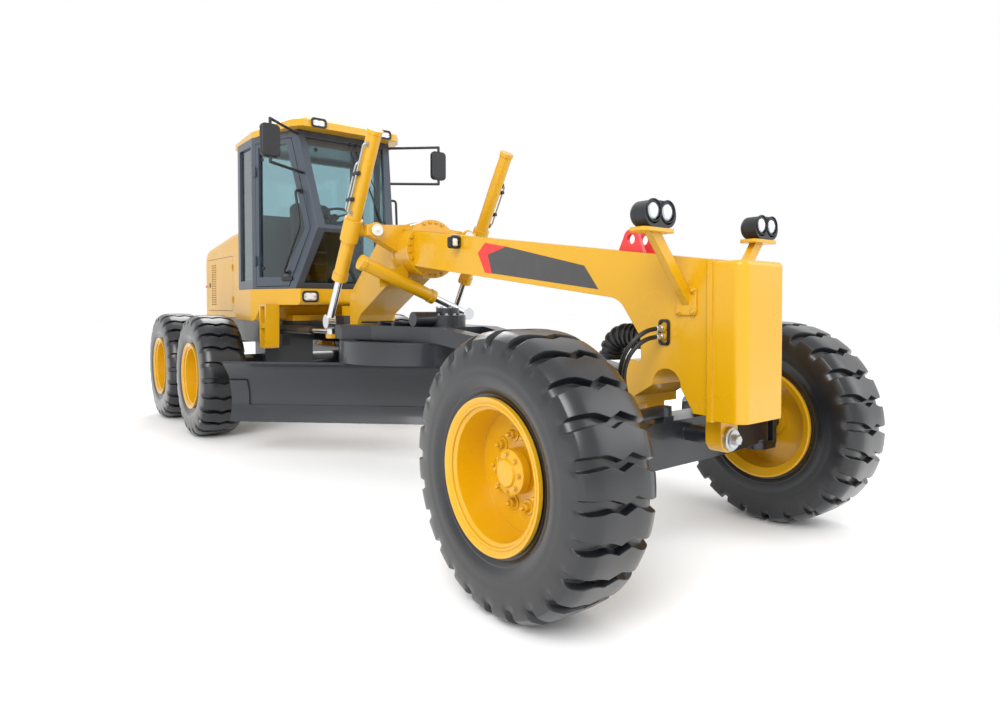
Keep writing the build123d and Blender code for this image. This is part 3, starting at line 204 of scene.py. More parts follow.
# %% Moulded and cast finishes
def grained(name, hex_code, pale_hex, roughness, grain_mm, depth, coat=0.0, round_mm=5):
    """A moulded or cast surface: one body colour, a pale scuffing and an even grain."""
    finish, tree = new_finish(name)
    place = put(tree, "ShaderNodeTexCoord").outputs["Object"]
    even = {"Vector": place, "Scale": 1 / (grain_mm * MM), "Detail": 2.0}
    grain = put(tree, "ShaderNodeTexNoise", even).outputs["Fac"]
    # scuffed patches are about 125 mm across
    patches = {"Vector": place, "Scale": 1 / (125 * MM), "Detail": 4.0}
    scuff = put(tree, "ShaderNodeTexNoise", patches).outputs["Fac"]
    eased = put(tree, "ShaderNodeBevel", {"Radius": round_mm * MM}, samples=4).outputs[0]
    span = {"From Min": 0.45, "From Max": 0.8, "To Max": 0.5}
    pale = put(tree, "ShaderNodeMapRange", {"Value": scuff, **span}).outputs[0]
    colours = {"Factor": pale, 6: linear(hex_code), 7: linear(pale_hex)}
    colour = put(tree, "ShaderNodeMix", colours, data_type="RGBA").outputs[2]
    span = {"To Min": roughness - 0.08, "To Max": roughness + 0.1}
    rough = put(tree, "ShaderNodeMapRange", {"Value": scuff, **span}).outputs[0]
    height = {"Height": grain, "Strength": depth, "Distance": 1 * MM, "Normal": eased}
    bump = put(tree, "ShaderNodeBump", height).outputs[0]
    look = {"Base Color": colour, "Roughness": rough, "Normal": bump, "IOR": 1.5}
    clear = {"Coat Weight": coat, "Coat Roughness": 0.25}
    moulding = put(tree, "ShaderNodeBsdfPrincipled", {**look, **clear})
    put(tree, "ShaderNodeOutputMaterial", {"Surface": moulding.outputs[0]})
    return finish


# these grains are about 1 mm or finer on the real pieces, drawn at 3 to 8 mm so that they show
rubber = grained("vulcanised_rubber_tyre", "#101216", "#1d2129", 0.3, 6, 0.1, coat=0.35, round_mm=8)
hose_rubber = grained("hose_rubber_wrapped", "#141518", "#26282c", 0.42, 5, 0.25)
black_plastic = grained("moulded_polypropylene_black", "#17181b", "#2a2c30", 0.45, 4, 0.12)
pale_plastic = grained("moulded_nylon_pale", "#d8d9d6", "#c4c5c1", 0.42, 3, 0.08)
amber_plastic = grained("moulded_acrylic_amber", "#f59b12", "#f7b544", 0.2, 6, 0.05, coat=0.8)
cast_iron = grained("painted_cast_iron", "#3a3c3f", "#55585b", 0.6, 8, 0.3)
charcoal_film = grained("printed_vinyl_charcoal", "#3b3a3c", "#474648", 0.35, 7, 0.04, coat=0.3)
red_film = grained("printed_vinyl_red", "#d8241f", "#dc3a33", 0.35, 7, 0.04, coat=0.3)
print("rubber, plastics, casting and films ready")

# %% [markdown]
# ## Lamp lenses
# A lamp lens is clear polycarbonate over a mirrored bowl. From outside it reads as a bright disc
# broken by rings and flutes, so one glossy surface with a ring pattern does the work of both: its
# rings of light and grey are a painted reflection of the bowl.

# %% Lens recipe
def lens_with_painted_reflection():
    """A clear lens over a bright bowl: rings of light and grey, a painted reflection of the bowl, under a
    gloss coat.
    """
    finish, tree = new_finish("lens_with_painted_bowl_reflection")
    spread = put(tree, "ShaderNodeTexCoord").outputs["Generated"]
    # the ring pattern is a share of the lens, whatever its size
    centred = put(tree, "ShaderNodeMapping", {"Vector": spread, "Location": (-0.5, -0.5, -0.5)})
    wave = {"Vector": centred.outputs[0], "Scale": 2.2, "Distortion": 1.2, "Detail": 1.0}
    kind = {"wave_type": "RINGS", "rings_direction": "SPHERICAL"}
    rings = put(tree, "ShaderNodeTexWave", wave, **kind).outputs["Fac"]
    # the light and grey rings are the bowl's reflection, painted into the lens colour
    colours = {"Factor": rings, 6: linear("#aab4be"), 7: linear("#f7fafc")}
    colour = put(tree, "ShaderNodeMix", colours, data_type="RGBA").outputs[2]
    flutes = put(tree, "ShaderNodeBump", {"Height": rings, "Strength": 0.3, "Distance": 2 * MM})
    look = {"Base Color": colour, "Normal": flutes.outputs[0], "Roughness": 0.14, "Metallic": 0.3}
    clear = {"Coat Weight": 1.0, "Coat Roughness": 0.03}
    bowl = put(tree, "ShaderNodeBsdfPrincipled", {**look, **clear})
    put(tree, "ShaderNodeOutputMaterial", {"Surface": bowl.outputs[0]})
    return finish


lens = lens_with_painted_reflection()
print("lens ready")

# %% [markdown]
# ## Seat cloth
# The seat is covered in coarse woven polyester. Two crossed bands of yarn, multiplied, give high
# threads with painted shade in the gaps between them, and a little sheen gives the soft edge that
# cloth has.

# %% Cloth recipe
# a wave texture of scale 1 repeats every 0.314 m
WAVE_REPEAT = 0.314


def woven_cloth():
    """Coarse woven polyester: crossed yarns, with painted shade in the gaps between the threads."""
    finish, tree = new_finish("woven_polyester_charcoal")
    place = put(tree, "ShaderNodeTexCoord").outputs["Object"]
    # yarns are 2 mm apart, drawn at 8 mm so that they show
    yarn = {"Vector": place, "Scale": WAVE_REPEAT / (8 * MM), "Distortion": 0.4}
    warp = put(tree, "ShaderNodeTexWave", yarn, bands_direction="Y").outputs["Fac"]
    weft = put(tree, "ShaderNodeTexWave", yarn, bands_direction="DIAGONAL").outputs["Fac"]
    weave_and_painted_gap_shade = put(tree, "ShaderNodeMath", {0: warp, 1: weft}, operation="MULTIPLY").outputs[0]
    # the darker colour is painted shade in the gaps between the threads
    colours = {"Factor": weave_and_painted_gap_shade, 6: linear("#24262a"), 7: linear("#4a4e55")}
    colour = put(tree, "ShaderNodeMix", colours, data_type="RGBA").outputs[2]
    bump = put(tree, "ShaderNodeBump", {"Height": weave_and_painted_gap_shade, "Strength": 0.5, "Distance": 1 * MM}).outputs[0]
    look = {"Base Color": colour, "Roughness": 0.85, "Sheen Weight": 0.3, "Normal": bump}
    fabric = put(tree, "ShaderNodeBsdfPrincipled", look)
    put(tree, "ShaderNodeOutputMaterial", {"Surface": fabric.outputs[0]})
    return finish


cloth = woven_cloth()
print("cloth ready")

# %% [markdown]
# ## Painting the solids
# The solids keep their own meshes. Each takes the finish of its record slot, so a repaint in
# the record and a repaint here stay in step. The boot behind the leg has a plastic slot but is
# rubber to the eye, so it is named apart.

# %% Assign finishes by slot
FINISH = {
    "yellow_paint": yellow_enamel,
    "dark_paint": slate_enamel,
    "cab_grey": cab_enamel,
    "red_paint": red_enamel,
    "chrome_rod": chrome,
    "tinted_glass": glass,
    "black_plastic": black_plastic,
    "lamp_plastic": black_plastic,
    "cast_block": cast_iron,
    "tyre_rubber": rubber,
}
OWN_FINISH = {"leg_boot": hose_rubber}
for row in frame["record"]["subparts"]:
    solid = nodes[row["node"]]
    solid.data.materials.clear()
    solid.data.materials.append(OWN_FINISH.get(row["node"], FINISH[row["material_slot"]]))

# %% [markdown]
# ## Making shapes
# Every added piece is a list of points and faces. A skin over rings covers most forms: a turned
# part is rings round an axis, a plate is rings of one outline, a bent bar is rings along a line.
# Shapes are moved into place and joined, so that a row of bolts is one mesh.

# %% Skins and turned shapes
def turns(count):
    """Evenly spaced angles of one full turn."""
    return [2 * math.pi * step / count for step in range(count)]


def loft(rings, around=False):
    """A skin over rings of equally many points, with end caps or from last ring to first."""
    count = len(rings[0])
    points = [tuple(point) for ring in rings for point in ring]
    faces = []
    for row in range(len(rings) if around else len(rings) - 1):
        low = row * count
        high = (row + 1) % len(rings) * count
        for column in range(count):
            after = (column + 1) % count
            faces.append((low + column, low + after, high + after, high + column))
    if not around:
        faces.append(tuple(reversed(range(count))))
        faces.append(tuple(range(len(points) - count, len(points))))
    return points, faces


def turned(profile, steps=32):
    """A lathe-turned shape about its own Z axis, from pairs of radius and height."""
    return loft([[(r * math.cos(t), r * math.sin(t), h) for t in turns(steps)] for r, h in profile])


def hoop(section, steps):
    """A closed section, as pairs of radius and height, carried round the Z axis."""
    rings = [[(r * math.cos(t), r * math.sin(t), h) for r, h in section] for t in turns(steps)]
    return loft(rings, around=True)


print("skins ready")

# %% [markdown]
# ## Placing shapes
# A shape is made at the origin, then moved with its Z axis along any direction. A finished one
# becomes an object that rides on a body, so that it follows its joint.

# %% Placing and finishing
def placed(shape, origin, direction=(0, 0, 1), roll=0.0):
    """A shape moved to an origin with its Z axis along a direction."""
    turn = Vector(direction).to_track_quat("Z", "Y").to_matrix().to_4x4()
    move = Matrix.Translation(origin) @ turn @ Matrix.Rotation(roll, 4, "Z")
    return [tuple(move @ Vector(point)) for point in shape[0]], shape[1]


def joined(shapes):
    """Several shapes as one."""
    points, faces = [], []
    for more_points, more_faces in shapes:
        start = len(points)
        points += more_points
        faces += [tuple(start + index for index in face) for face in more_faces]
    return points, faces


def piece(name, shape, finish, body, sharp=35):
    """A shape as an object that rides on a body, smooth up to a sharp angle in degrees."""
    mesh = bpy.data.meshes.new(name)
    mesh.from_pydata(shape[0], [], shape[1])
    skin = bmesh.new()
    skin.from_mesh(mesh)
    bmesh.ops.recalc_face_normals(skin, faces=skin.faces)
    skin.to_mesh(mesh)
    skin.free()
    mesh.shade_smooth()
    mesh.set_sharp_from_angle(angle=math.radians(sharp))
    mesh.materials.append(finish)
    made = bpy.data.objects.new(name, mesh)
    bpy.context.scene.collection.objects.link(made)
    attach(made, body)
    return made


def middle(node):
    """The middle of a solid's box."""
    low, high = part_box(node)
    return (Vector(low) + Vector(high)) / 2


SIDES = ((1, "left"), (-1, "right"))
AXLES = ("front", "mid", "rear")
WHEELS = [(side, f"{axle}_{word}") for axle in AXLES for side, word in SIDES]
FORWARD = (1, 0, 0)
print("placing ready, wheels:", len(WHEELS))

# %% [markdown]
# ## Tyres
# A grader tyre carries deep transverse lugs. Their edges run slantwise and break in a zigzag near
# the middle, and the grooves open towards the shoulder and die out on the sidewall. A displaced
# torus would smear those edges, so the mesh columns follow the groove: one pitch is a few
# columns on the lug, then a few on the groove's floor, all pushed sideways by the zigzag.

# %% Tread sizes
tyre_low, tyre_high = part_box("tyre_front_left")
TYRE_RADIUS = (tyre_high[2] - tyre_low[2]) / 2
TYRE_HALF = (tyre_high[1] - tyre_low[1]) / 2
PITCHES = 24
# share of the lug or of the groove's floor where each mesh column runs
LUG_COLUMNS = (0.0, 0.25, 0.5, 0.75, 1.0)
FLOOR_COLUMNS = (0.16, 0.5, 0.84)
# from crown to bead: share of the half width, drop of the lug and of the groove's floor in mm
SECTION = (
    (0.0, 0, 36),
    (0.1, 0, 36),
    (0.2, 0, 36),
    (0.32, 0, 36),
    (0.44, 1, 36),
    (0.56, 3, 38),
    (0.66, 6, 41),
    (0.76, 16, 49),
    (0.86, 28, 60),
    (0.92, 40, 72),
    (0.955, 58, 86),
    (0.975, 84, 100),
    (0.988, 112, 112),
    (1.0, 150, 150),
    (1.0, 168, 168),
    (0.985, 196, 196),
    (0.988, 201, 201),
    (0.95, 232, 232),
    (0.9, 256, 256),
    (0.905, 262, 262),
    (0.845, 284, 284),
    (0.835, 330, 330),
)
# share of the half width and sideways run of the groove in mm
ZIGZAG = ((-1.0, 0), (-0.5, 0), (-0.2, 20), (0.1, -12), (0.4, 8), (1.0, 0))
SLANT = math.tan(math.radians(8))
# the groove takes this share of a pitch at the crown, and so much more at the shoulder
CROWN_GROOVE = 0.27
SHOULDER_GROWTH = 0.1
print("tyre radius", round(TYRE_RADIUS, 3), "m, half width", round(TYRE_HALF, 3), "m")


# %% Tread and casing
def zigzag(share):
    """Sideways run of the groove in metres at a share of the half width."""
    for (x0, y0), (x1, y1) in zip(ZIGZAG, ZIGZAG[1:]):
        if x0 <= share <= x1:
            return (y0 + (y1 - y0) * (share - x0) / (x1 - x0)) * MM
    return 0.0


def tread_ring(share, lug_drop, floor_drop):
    """One ring of the tyre at a share of its half width."""
    across = share * TYRE_HALF
    groove = CROWN_GROOVE + SHOULDER_GROWTH * min(1.0, max(0.0, (abs(share) - 0.35) / 0.5))
    shift = zigzag(share) + SLANT * across
    columns = [(land * (1 - groove), lug_drop) for land in LUG_COLUMNS]
    columns += [(1 - groove + floor * groove, floor_drop) for floor in FLOOR_COLUMNS]
    ring = []
    for pitch in range(PITCHES):
        for part, drop in columns:
            angle = 2 * math.pi * (pitch + part) / PITCHES + shift / TYRE_RADIUS
            radius = TYRE_RADIUS - drop * MM
            ring.append((radius * math.sin(angle), across, radius * math.cos(angle)))
    return ring


other_half = [(-share, lug, floor) for share, lug, floor in reversed(SECTION[1:])]
tyre_points, tyre_faces = loft([tread_ring(*row) for row in other_half + list(SECTION)], around=True)
for side, wheel in WHEELS:
    node = f"tyre_{wheel}"
    facing = Matrix.Translation(middle(node)) @ Matrix.Rotation(0 if side > 0 else math.pi, 4, "Z")
    shape = ([tuple(facing @ Vector(point)) for point in tyre_points], tyre_faces)
    tyre = piece(f"tyre_cover_{wheel}", shape, rubber, f"wheel_{wheel}", 24)
    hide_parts(node)
print("tyres:", len(WHEELS), "of", len(tyre_faces), "faces")

# %% [markdown]
# ## Wheel hardware
# In the dish of each rim sit the hub cap with its ring of small bolts and ten wheel nuts on
# their studs. A bead round the flange is the lock ring. All of it is turned work, joined to one
# mesh for each wheel.

# %% Bolts and rings of bolts
def hex_bolt(across):
    """A hexagon bolt head on its washer, its rim chamfered."""
    washer = turned([(across, 0), (across, 0.13 * across), (0.4 * across, 0.13 * across)], 20)
    corner = across / 1.732
    levels = ((corner, 0.1), (corner, 0.62), (0.84 * corner, 0.72))
    head = turned([(radius, height * across) for radius, height in levels], 6)
    return joined([washer, head])


def ringed(shape, count, radius, height):
    """Copies of a shape on a circle about the Z axis."""
    spots = [(t, (radius * math.cos(t), radius * math.sin(t), height)) for t in turns(count)]
    return joined([placed(shape, spot, roll=t) for t, spot in spots])


print("bolt recipes ready")

# %% Hub caps, nuts and lock rings
# heights are out from the wheel's middle plane
HUB_STEP = 0.05
DISC_FACE = 0.02
LOCK_RING = (0.318, 0.196, 0.009)
cap_profile = [(0.106, 0), (0.106, 0.042), (0.094, 0.052), (0.066, 0.056)]
cap_profile += [(0.06, 0.068), (0.03, 0.074), (0.001, 0.076)]
stud = turned([(0.011, 0), (0.011, 0.044), (0.008, 0.048), (0.001, 0.048)], 12)
wheel_nut = joined([hex_bolt(0.036), stud])
ring_radius, ring_out, bead = LOCK_RING
bead_section = [(ring_radius + bead * math.cos(t), ring_out + bead * math.sin(t)) for t in turns(8)]
hub_shape = joined(
    [
        placed(turned(cap_profile, 40), (0, 0, HUB_STEP)),
        ringed(hex_bolt(0.014), 8, 0.084, HUB_STEP + 0.054),
        ringed(wheel_nut, 10, 0.168, DISC_FACE),
        hoop(bead_section, 48),
    ]
)
for side, wheel in WHEELS:
    shape = placed(hub_shape, middle(f"tyre_{wheel}"), (0, side, 0))
    piece(f"hub_hardware_{wheel}", shape, yellow_enamel, f"wheel_{wheel}")
print("hub hardware on", len(WHEELS), "wheels")

# %% [markdown]
# ## Headlamps
# Each headlamp has two round lenses in cups, which bulge a little past its face, and a black rim
# round each. A lens is its own object so that the ring pattern centres on it.

# %% Round lenses
# share of the lens radius and of its bulge
LENS_DOME = ((1.0, 0.0), (0.99, 0.18), (0.93, 0.45), (0.8, 0.7), (0.55, 0.9), (0.28, 0.98), (0.01, 1.0))
HEADLAMP_Y = 0.47
CUP_SPREAD = 0.052
LENS_RADIUS = 0.047
LENS_BULGE = 0.016
LENS_SUNK = 0.012
RIM_SUNK = 0.004
CUP_DROP = 0.065
lamp_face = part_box("front_lamps")[1][0]
cup_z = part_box("front_lamps")[1][2] - CUP_DROP
dome = turned([(LENS_RADIUS * r, LENS_BULGE * h) for r, h in LENS_DOME], 40)
cup_rim = hoop([(0.05, 0), (0.056, 0), (0.056, 0.008), (0.05, 0.01)], 40)
for side, word in SIDES:
    for number, offset in enumerate((-CUP_SPREAD, CUP_SPREAD)):
        cup_y = side * HEADLAMP_Y + offset
        shape = placed(dome, (lamp_face - LENS_SUNK, cup_y, cup_z), FORWARD)
        piece(f"headlamp_lens_{word}_{number}", shape, lens, "front", 60)
        shape = placed(cup_rim, (lamp_face - RIM_SUNK, cup_y, cup_z), FORWARD)
        piece(f"headlamp_rim_{word}_{number}", shape, black_plastic, "front")
print("headlamp lenses: 4")

# %% [markdown]
# ## Oblong lamps
# The work lamps on the beam, the roof lamps and the lamps over the steps are rounded oblongs.
# Each gets a bulged lens inside a black frame, both lofted from one rounded outline.

# %% Oblong lenses and frames
def rounded(width, height, radius, steps=6):
    """A rectangle with rounded corners, as a ring of points in X and Y."""
    ring = []
    for quarter, (sx, sy) in enumerate(((1, 1), (-1, 1), (-1, -1), (1, -1))):
        for step in range(steps + 1):
            angle = math.pi / 2 * (quarter + step / steps)
            x = sx * (width / 2 - radius) + radius * math.cos(angle)
            y = sy * (height / 2 - radius) + radius * math.sin(angle)
            ring.append((x, y))
    return ring


def oblong_lens(width, height, bulge):
    """A bulged lens with rounded corners."""
    outline = rounded(width, height, 0.3 * min(width, height))
    return loft([[(x * size, y * size, rise * bulge) for x, y in outline] for size, rise in LENS_DOME])


def raised_frame(width, height, rim):
    """A raised frame with rounded corners, open in the middle."""
    outer = rounded(width, height, 0.3 * min(width, height))
    inner = rounded(width - 2 * rim, height - 2 * rim, 0.22 * min(width, height))
    levels = ((outer, 0.0), (outer, 0.007), (inner, 0.011), (inner, 0.0))
    return loft([[(x, y, z) for x, y in outline] for outline, z in levels], around=True)


CAB_HEIGHT = 1.613
# a lens is this much smaller than its lamp's face, and the frame this much larger
LENS_LESS = 0.022
FRAME_MORE = 0.012
roof_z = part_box("cab_roof")[0][2]
floor_z = roof_z - CAB_HEIGHT
roof_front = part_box("cab_roof")[1][0]
step_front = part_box("cab_platform")[1][0]
for side, word in SIDES:
    for name, face, wide, tall, body in (
        ("work_lamp", (2.01, side * 0.235, 1.885), 0.08, 0.09, "front"),
        ("roof_lamp", (roof_front, side * 0.36, roof_z + 0.044), 0.15, 0.084, "rear"),
        ("step_lamp", (step_front, side * 0.4, floor_z - 0.08), 0.16, 0.105, "rear"),
    ):
        shape = oblong_lens(wide - LENS_LESS, tall - LENS_LESS, 0.008)
        shape = placed(shape, (face[0] - 0.009, *face[1:]), FORWARD)
        piece(f"{name}_lens_{word}", shape, lens, body, 60)
        shape = raised_frame(wide + FRAME_MORE, tall + FRAME_MORE, 0.016)
        shape = placed(shape, (face[0] - RIM_SUNK, *face[1:]), FORWARD)
        piece(f"{name}_frame_{word}", shape, black_plastic, body)
print("oblong lamps: 6, cab floor at", round(floor_z, 3), "m")

# %% [markdown]
# ## Printed bands
# A charcoal band with a red chevron lies on each side of the beam, and a dark sweep on the hood
# behind the cab. They are printed vinyl film: flat outlines a fraction of a millimetre thick.
# Points on the beam are given along it and as a share of its depth, so they follow its taper.

# %% Films on beam and hood
FILM = 0.8 * MM
# a point on each edge of the beam's side, in X and Z, and the edge's fall per metre
TOP_EDGE = (0.78, 2.103, 0.1336)
LOW_EDGE = (1.156, 1.757, 0.1251)
CHEVRON = [(2.323, 0.127), (2.572, 0.168), (2.356, 0.423), (2.407, 0.875), (2.323, 0.89), (2.232, 0.413)]
BAND = [(2.572, 0.168), (3.349, 0.4), (3.47, 0.872), (2.407, 0.875), (2.356, 0.423)]
SWEEP_LENGTH = 0.78
SWEEP_DROP = 0.22
SWEEP_TOP = 2.29
STRIPE_Z = (1.66, 1.69)
# the nose cover's flange and the hood door's hinges stand this far out from the sides
NOSE_FLANGE = 0.018
DOOR_HINGE = 0.017
beam_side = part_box("nose_cover")[1][1] - NOSE_FLANGE
hood_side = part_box("hood_door_left")[1][1] - DOOR_HINGE
hood_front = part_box("hood")[1][0]
hood_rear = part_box("hood")[0][0]


def film(name, outline, y, finish, body):
    """A flat film on a side of the machine, from an outline in X and Z."""
    side = 1 if y > 0 else -1
    rings = [[(x, y + side * lift, z) for x, z in outline] for lift in (0.0, FILM)]
    return piece(name, loft(rings), finish, body)


def on_beam(x, share):
    """A point on the beam's side, a share of the way down from its top edge."""
    top, bottom = [z - slope * (x - start) for start, z, slope in (TOP_EDGE, LOW_EDGE)]
    return (x, top + (bottom - top) * share)


sweep = [(hood_front, SWEEP_TOP - SWEEP_DROP)]
for turn in [step * 0.1 for step in range(16)]:
    sweep.append((hood_front - SWEEP_LENGTH * math.sin(turn), SWEEP_TOP - SWEEP_DROP * (1 - math.cos(turn))))
stripe_x = (hood_rear + 0.012, hood_rear + 0.15)
stripe = [(stripe_x[a], STRIPE_Z[b]) for a, b in ((0, 0), (1, 0), (1, 1), (0, 1))]
for side, word in SIDES:
    film(f"beam_chevron_{word}", [on_beam(*p) for p in CHEVRON], side * beam_side, red_film, "front")
    film(f"beam_band_{word}", [on_beam(*p) for p in BAND], side * beam_side, charcoal_film, "front")
    film(f"hood_sweep_{word}", sweep, side * hood_side, charcoal_film, "rear")
    film(f"hood_stripe_{word}", stripe, side * hood_side, red_film, "rear")
print("films on beam and hood: 8")

# %% [markdown]
# ## Plates and bolts on the frame
# The lamp arms end in a plate with four bolts on the leg's side, and pale caps close the trunnions
# of the lift rams. The nose hides the axle's pin, so only its bolt shows below. The saddle's face
# has a ring of bolts, placed only where the beam doesn't cover them.

# %% Lamp-arm plates and trunnion caps
def slab(width, height, radius, thickness, edge):
    """A rounded plate with a broken front edge, on the plane Z = 0."""
    full = rounded(width, height, radius)
    small = rounded(width - 2 * edge, height - 2 * edge, max(radius - edge, edge))
    rings = [[(x, y, 0) for x, y in full], [(x, y, thickness - edge) for x, y in full]]
    return loft(rings + [[(x, y, thickness) for x, y in small]])


PLATE_THICKNESS = 0.012
PLATE_Z = 1.43
YOKE_Y = 0.46
TRUNNION_Z = 2.03
leg_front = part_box("nose_cover")[0][0]
corners = [(x, y, PLATE_THICKNESS) for x in (-0.045, 0.045) for y in (-0.055, 0.055)]
plate_bolts = [placed(hex_bolt(0.02), corner) for corner in corners]
plate = joined([slab(0.13, 0.15, 0.02, PLATE_THICKNESS, 0.004)] + plate_bolts)
trunnion_profile = [(0.05, 0), (0.05, 0.01), (0.044, 0.016), (0.04, 0.013), (0.02, 0.015), (0.001, 0.016)]
trunnion = joined([turned(trunnion_profile, 36), placed(hex_bolt(0.018), (0, 0, 0.014))])
for side, word in SIDES:
    shape = placed(plate, (leg_front - 0.135, side * beam_side, PLATE_Z), (0, side, 0))
    piece(f"lamp_arm_plate_{word}", shape, yellow_enamel, "front")
    yoke_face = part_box(f"lift_yoke_{word}")[1][0]
    shape = placed(trunnion, (yoke_face, side * YOKE_Y, TRUNNION_Z), FORWARD)
    piece(f"trunnion_cap_{word}", shape, pale_plastic, f"lift_yoke_{word}")
print("plates and caps: 2 each")

# %% Axle pin bolt and saddle bolts
AXLE_PIN_Z = 0.712
SADDLE_Z = 1.89
BOLT_CIRCLE = 0.23
SADDLE_BOLTS = 24
washer = turned([(0.062, 0), (0.062, 0.02), (0.05, 0.026), (0.001, 0.026)])
pin_bolt = joined([washer, placed(hex_bolt(0.05), (0, 0, 0.026))])
shape = placed(pin_bolt, (leg_front, 0, AXLE_PIN_Z), FORWARD)
piece("axle_pin_bolt", shape, zinc, "front")

saddle_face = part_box("saddle")[1][0]
saddle_bolts = []
for number in range(SADDLE_BOLTS):
    turn = 2 * math.pi * (number + 0.5) / SADDLE_BOLTS
    y = BOLT_CIRCLE * math.cos(turn)
    rise = BOLT_CIRCLE * math.sin(turn)
    if abs(y) > beam_side + 0.015 or abs(rise) > 0.2:
        saddle_bolts.append(placed(hex_bolt(0.02), (saddle_face, y, SADDLE_Z + rise), FORWARD))
piece("saddle_bolts", joined(saddle_bolts), yellow_enamel, "front")
print("pin bolt, saddle bolts:", len(saddle_bolts))

# %% [markdown]
# ## Hoses
# Two hydraulic hoses leave a grommet on the leg's right side and curve down to the axle. They are
# flexible, so each is one smooth NURBS curve whose control points follow the route of its solid,
# with a pressed steel ferrule at each end.

# %% Hose routes
HOSE_RADIUS = 12 * MM
axle_x = middle("rim_front_right").x
gland_y = -beam_side - 0.025
upper_route = [
    (axle_x + 0.09, gland_y, 1.286),
    (axle_x + 0.09, gland_y - 0.088, 1.286),
    (axle_x + 0.068, gland_y - 0.164, 1.248),
    (axle_x + 0.026, gland_y - 0.208, 1.176),
    (axle_x - 0.018, gland_y - 0.208, 1.082),
    (axle_x - 0.055, gland_y - 0.172, 0.985),
    (axle_x - 0.075, gland_y - 0.12, 0.89),
    (axle_x - 0.075, gland_y - 0.12, 0.805),
]
lower_route = [
    (axle_x + 0.09, gland_y, 1.242),
    (axle_x + 0.09, gland_y - 0.088, 1.242),
    (axle_x + 0.07, gland_y - 0.162, 1.208),
    (axle_x + 0.036, gland_y - 0.202, 1.142),
    (axle_x + 0.006, gland_y - 0.206, 1.05),
    (axle_x - 0.008, gland_y - 0.176, 0.958),
    (axle_x - 0.01, gland_y - 0.13, 0.88),
    (axle_x - 0.01, gland_y - 0.13, 0.805),
]
FERRULE = [(0.017, 0), (0.017, 0.012), (0.0145, 0.014), (0.0155, 0.028)]
FERRULE += [(0.0145, 0.03), (0.0155, 0.044), (0.0125, 0.048)]
print("hose routes of", len(upper_route), "and", len(lower_route), "points")


# %% Hoses, ferrules and grommet
def hose(name, route):
    """A hose along its route, with a ferrule at each end."""
    line = bpy.data.curves.new(name, "CURVE")
    line.dimensions = "3D"
    line.bevel_depth = HOSE_RADIUS
    line.bevel_resolution = 6
    line.resolution_u = 16
    run = line.splines.new("NURBS")
    run.points.add(len(route) - 1)
    for point, place in zip(run.points, route):
        point.co = (*place, 1.0)
    run.order_u = 3
    run.use_endpoint_u = True
    line.materials.append(hose_rubber)
    made = bpy.data.objects.new(name, line)
    bpy.context.scene.collection.objects.link(made)
    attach(made, "front")
    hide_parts("frame_hoses")
    ends = ((route[0], route[1]), (route[-1], route[-2]))
    ferrules = joined([placed(turned(FERRULE, 24), a, Vector(b) - Vector(a)) for a, b in ends])
    crimp = piece(f"{name}_ferrules", ferrules, zinc, "front")


hose("steering_hose_upper", upper_route)
hose("steering_hose_lower", lower_route)
port = (axle_x + 0.09, -beam_side, 1.264)
shape = placed(raised_frame(0.076, 0.14, 0.014), port, (0, -1, 0))
piece("hose_grommet", shape, hose_rubber, "front")
print("hoses: 2, and their grommet")

# %% [markdown]
# ## Pipes on the lift rams
# Each lift ram is fed by two steel pipes clamped along its barrel. They are rigid, bent cold over
# a former, so they are swept bars with rounded corners. They ride on the barrel.

# %% Bars and bends
def tube(path, radius, steps=12):
    """A round bar along a line of points, mitred at each of them."""
    path = [Vector(point) for point in path]
    ways = [(b - a).normalized() for a, b in zip(path, path[1:])]
    ways = [ways[0]] + [(a + b).normalized() for a, b in zip(ways, ways[1:])] + [ways[-1]]
    side = ways[0].orthogonal().normalized()
    rings = []
    for point, way in zip(path, ways):
        side = (side - way * side.dot(way)).normalized()
        other = way.cross(side)
        rings.append([point + (side * math.cos(t) + other * math.sin(t)) * radius for t in turns(steps)])
    return loft(rings)


def bent(corners, bend, steps=6):
    """A line of points through corners, each of them rounded over a length on both sides."""
    corners = [Vector(corner) for corner in corners]
    path = [corners[0]]
    for before, here, after in zip(corners, corners[1:], corners[2:]):
        start = here + (before - here).normalized() * bend
        end = here + (after - here).normalized() * bend
        for step in range(steps + 1):
            t = step / steps
            path.append(start * (1 - t) ** 2 + here * 2 * t * (1 - t) + end * t**2)
    return path + [corners[-1]]


print("bars ready")

# %% Lift pipes and clamps
LIFT_Y = 0.64
BARREL_LEAN = 0.5967
# distances along the barrel from its trunnion, and out from its axis
PIPE_START = 0.16
PIPE_PAIR = ((-0.024, 0.56), (0.024, 0.74))
PIPE_OUT = 0.078
PORT_OUT = 0.05
CLAMP_OUT = 0.054
CLAMPS = (0.26, 0.48)
along = Vector((BARREL_LEAN, 0, 1)).normalized()
pin_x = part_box("lift_yoke_left")[0][0] + 0.045
clamp = slab(0.09, 0.03, 0.008, 0.034, 0.004)
for side, word in SIDES:
    pivot = Vector((pin_x, side * LIFT_Y, TRUNNION_Z))
    outward = Vector((0, side, 0))
    shapes = []
    for spread, end in PIPE_PAIR:
        lean = along.cross(outward) * spread
        stand = outward * PIPE_OUT + lean
        path = [
            pivot + along * PIPE_START + outward * PORT_OUT + lean,
            pivot + along * PIPE_START + stand,
            pivot + along * end + stand,
            pivot + along * end + outward * PORT_OUT + lean,
        ]
        shapes.append(tube(bent(path, 0.022), 0.008))
        shapes += [placed(hex_bolt(0.026), spot, outward) for spot in (path[0], path[-1])]
    piece(f"lift_pipes_{word}", joined(shapes), zinc, f"lift_barrel_{word}")
    spots = [pivot + along * distance + outward * CLAMP_OUT for distance in CLAMPS]
    shape = joined([placed(clamp, spot, outward) for spot in spots])
    piece(f"lift_pipe_clamps_{word}", shape, black_plastic, f"lift_barrel_{word}")
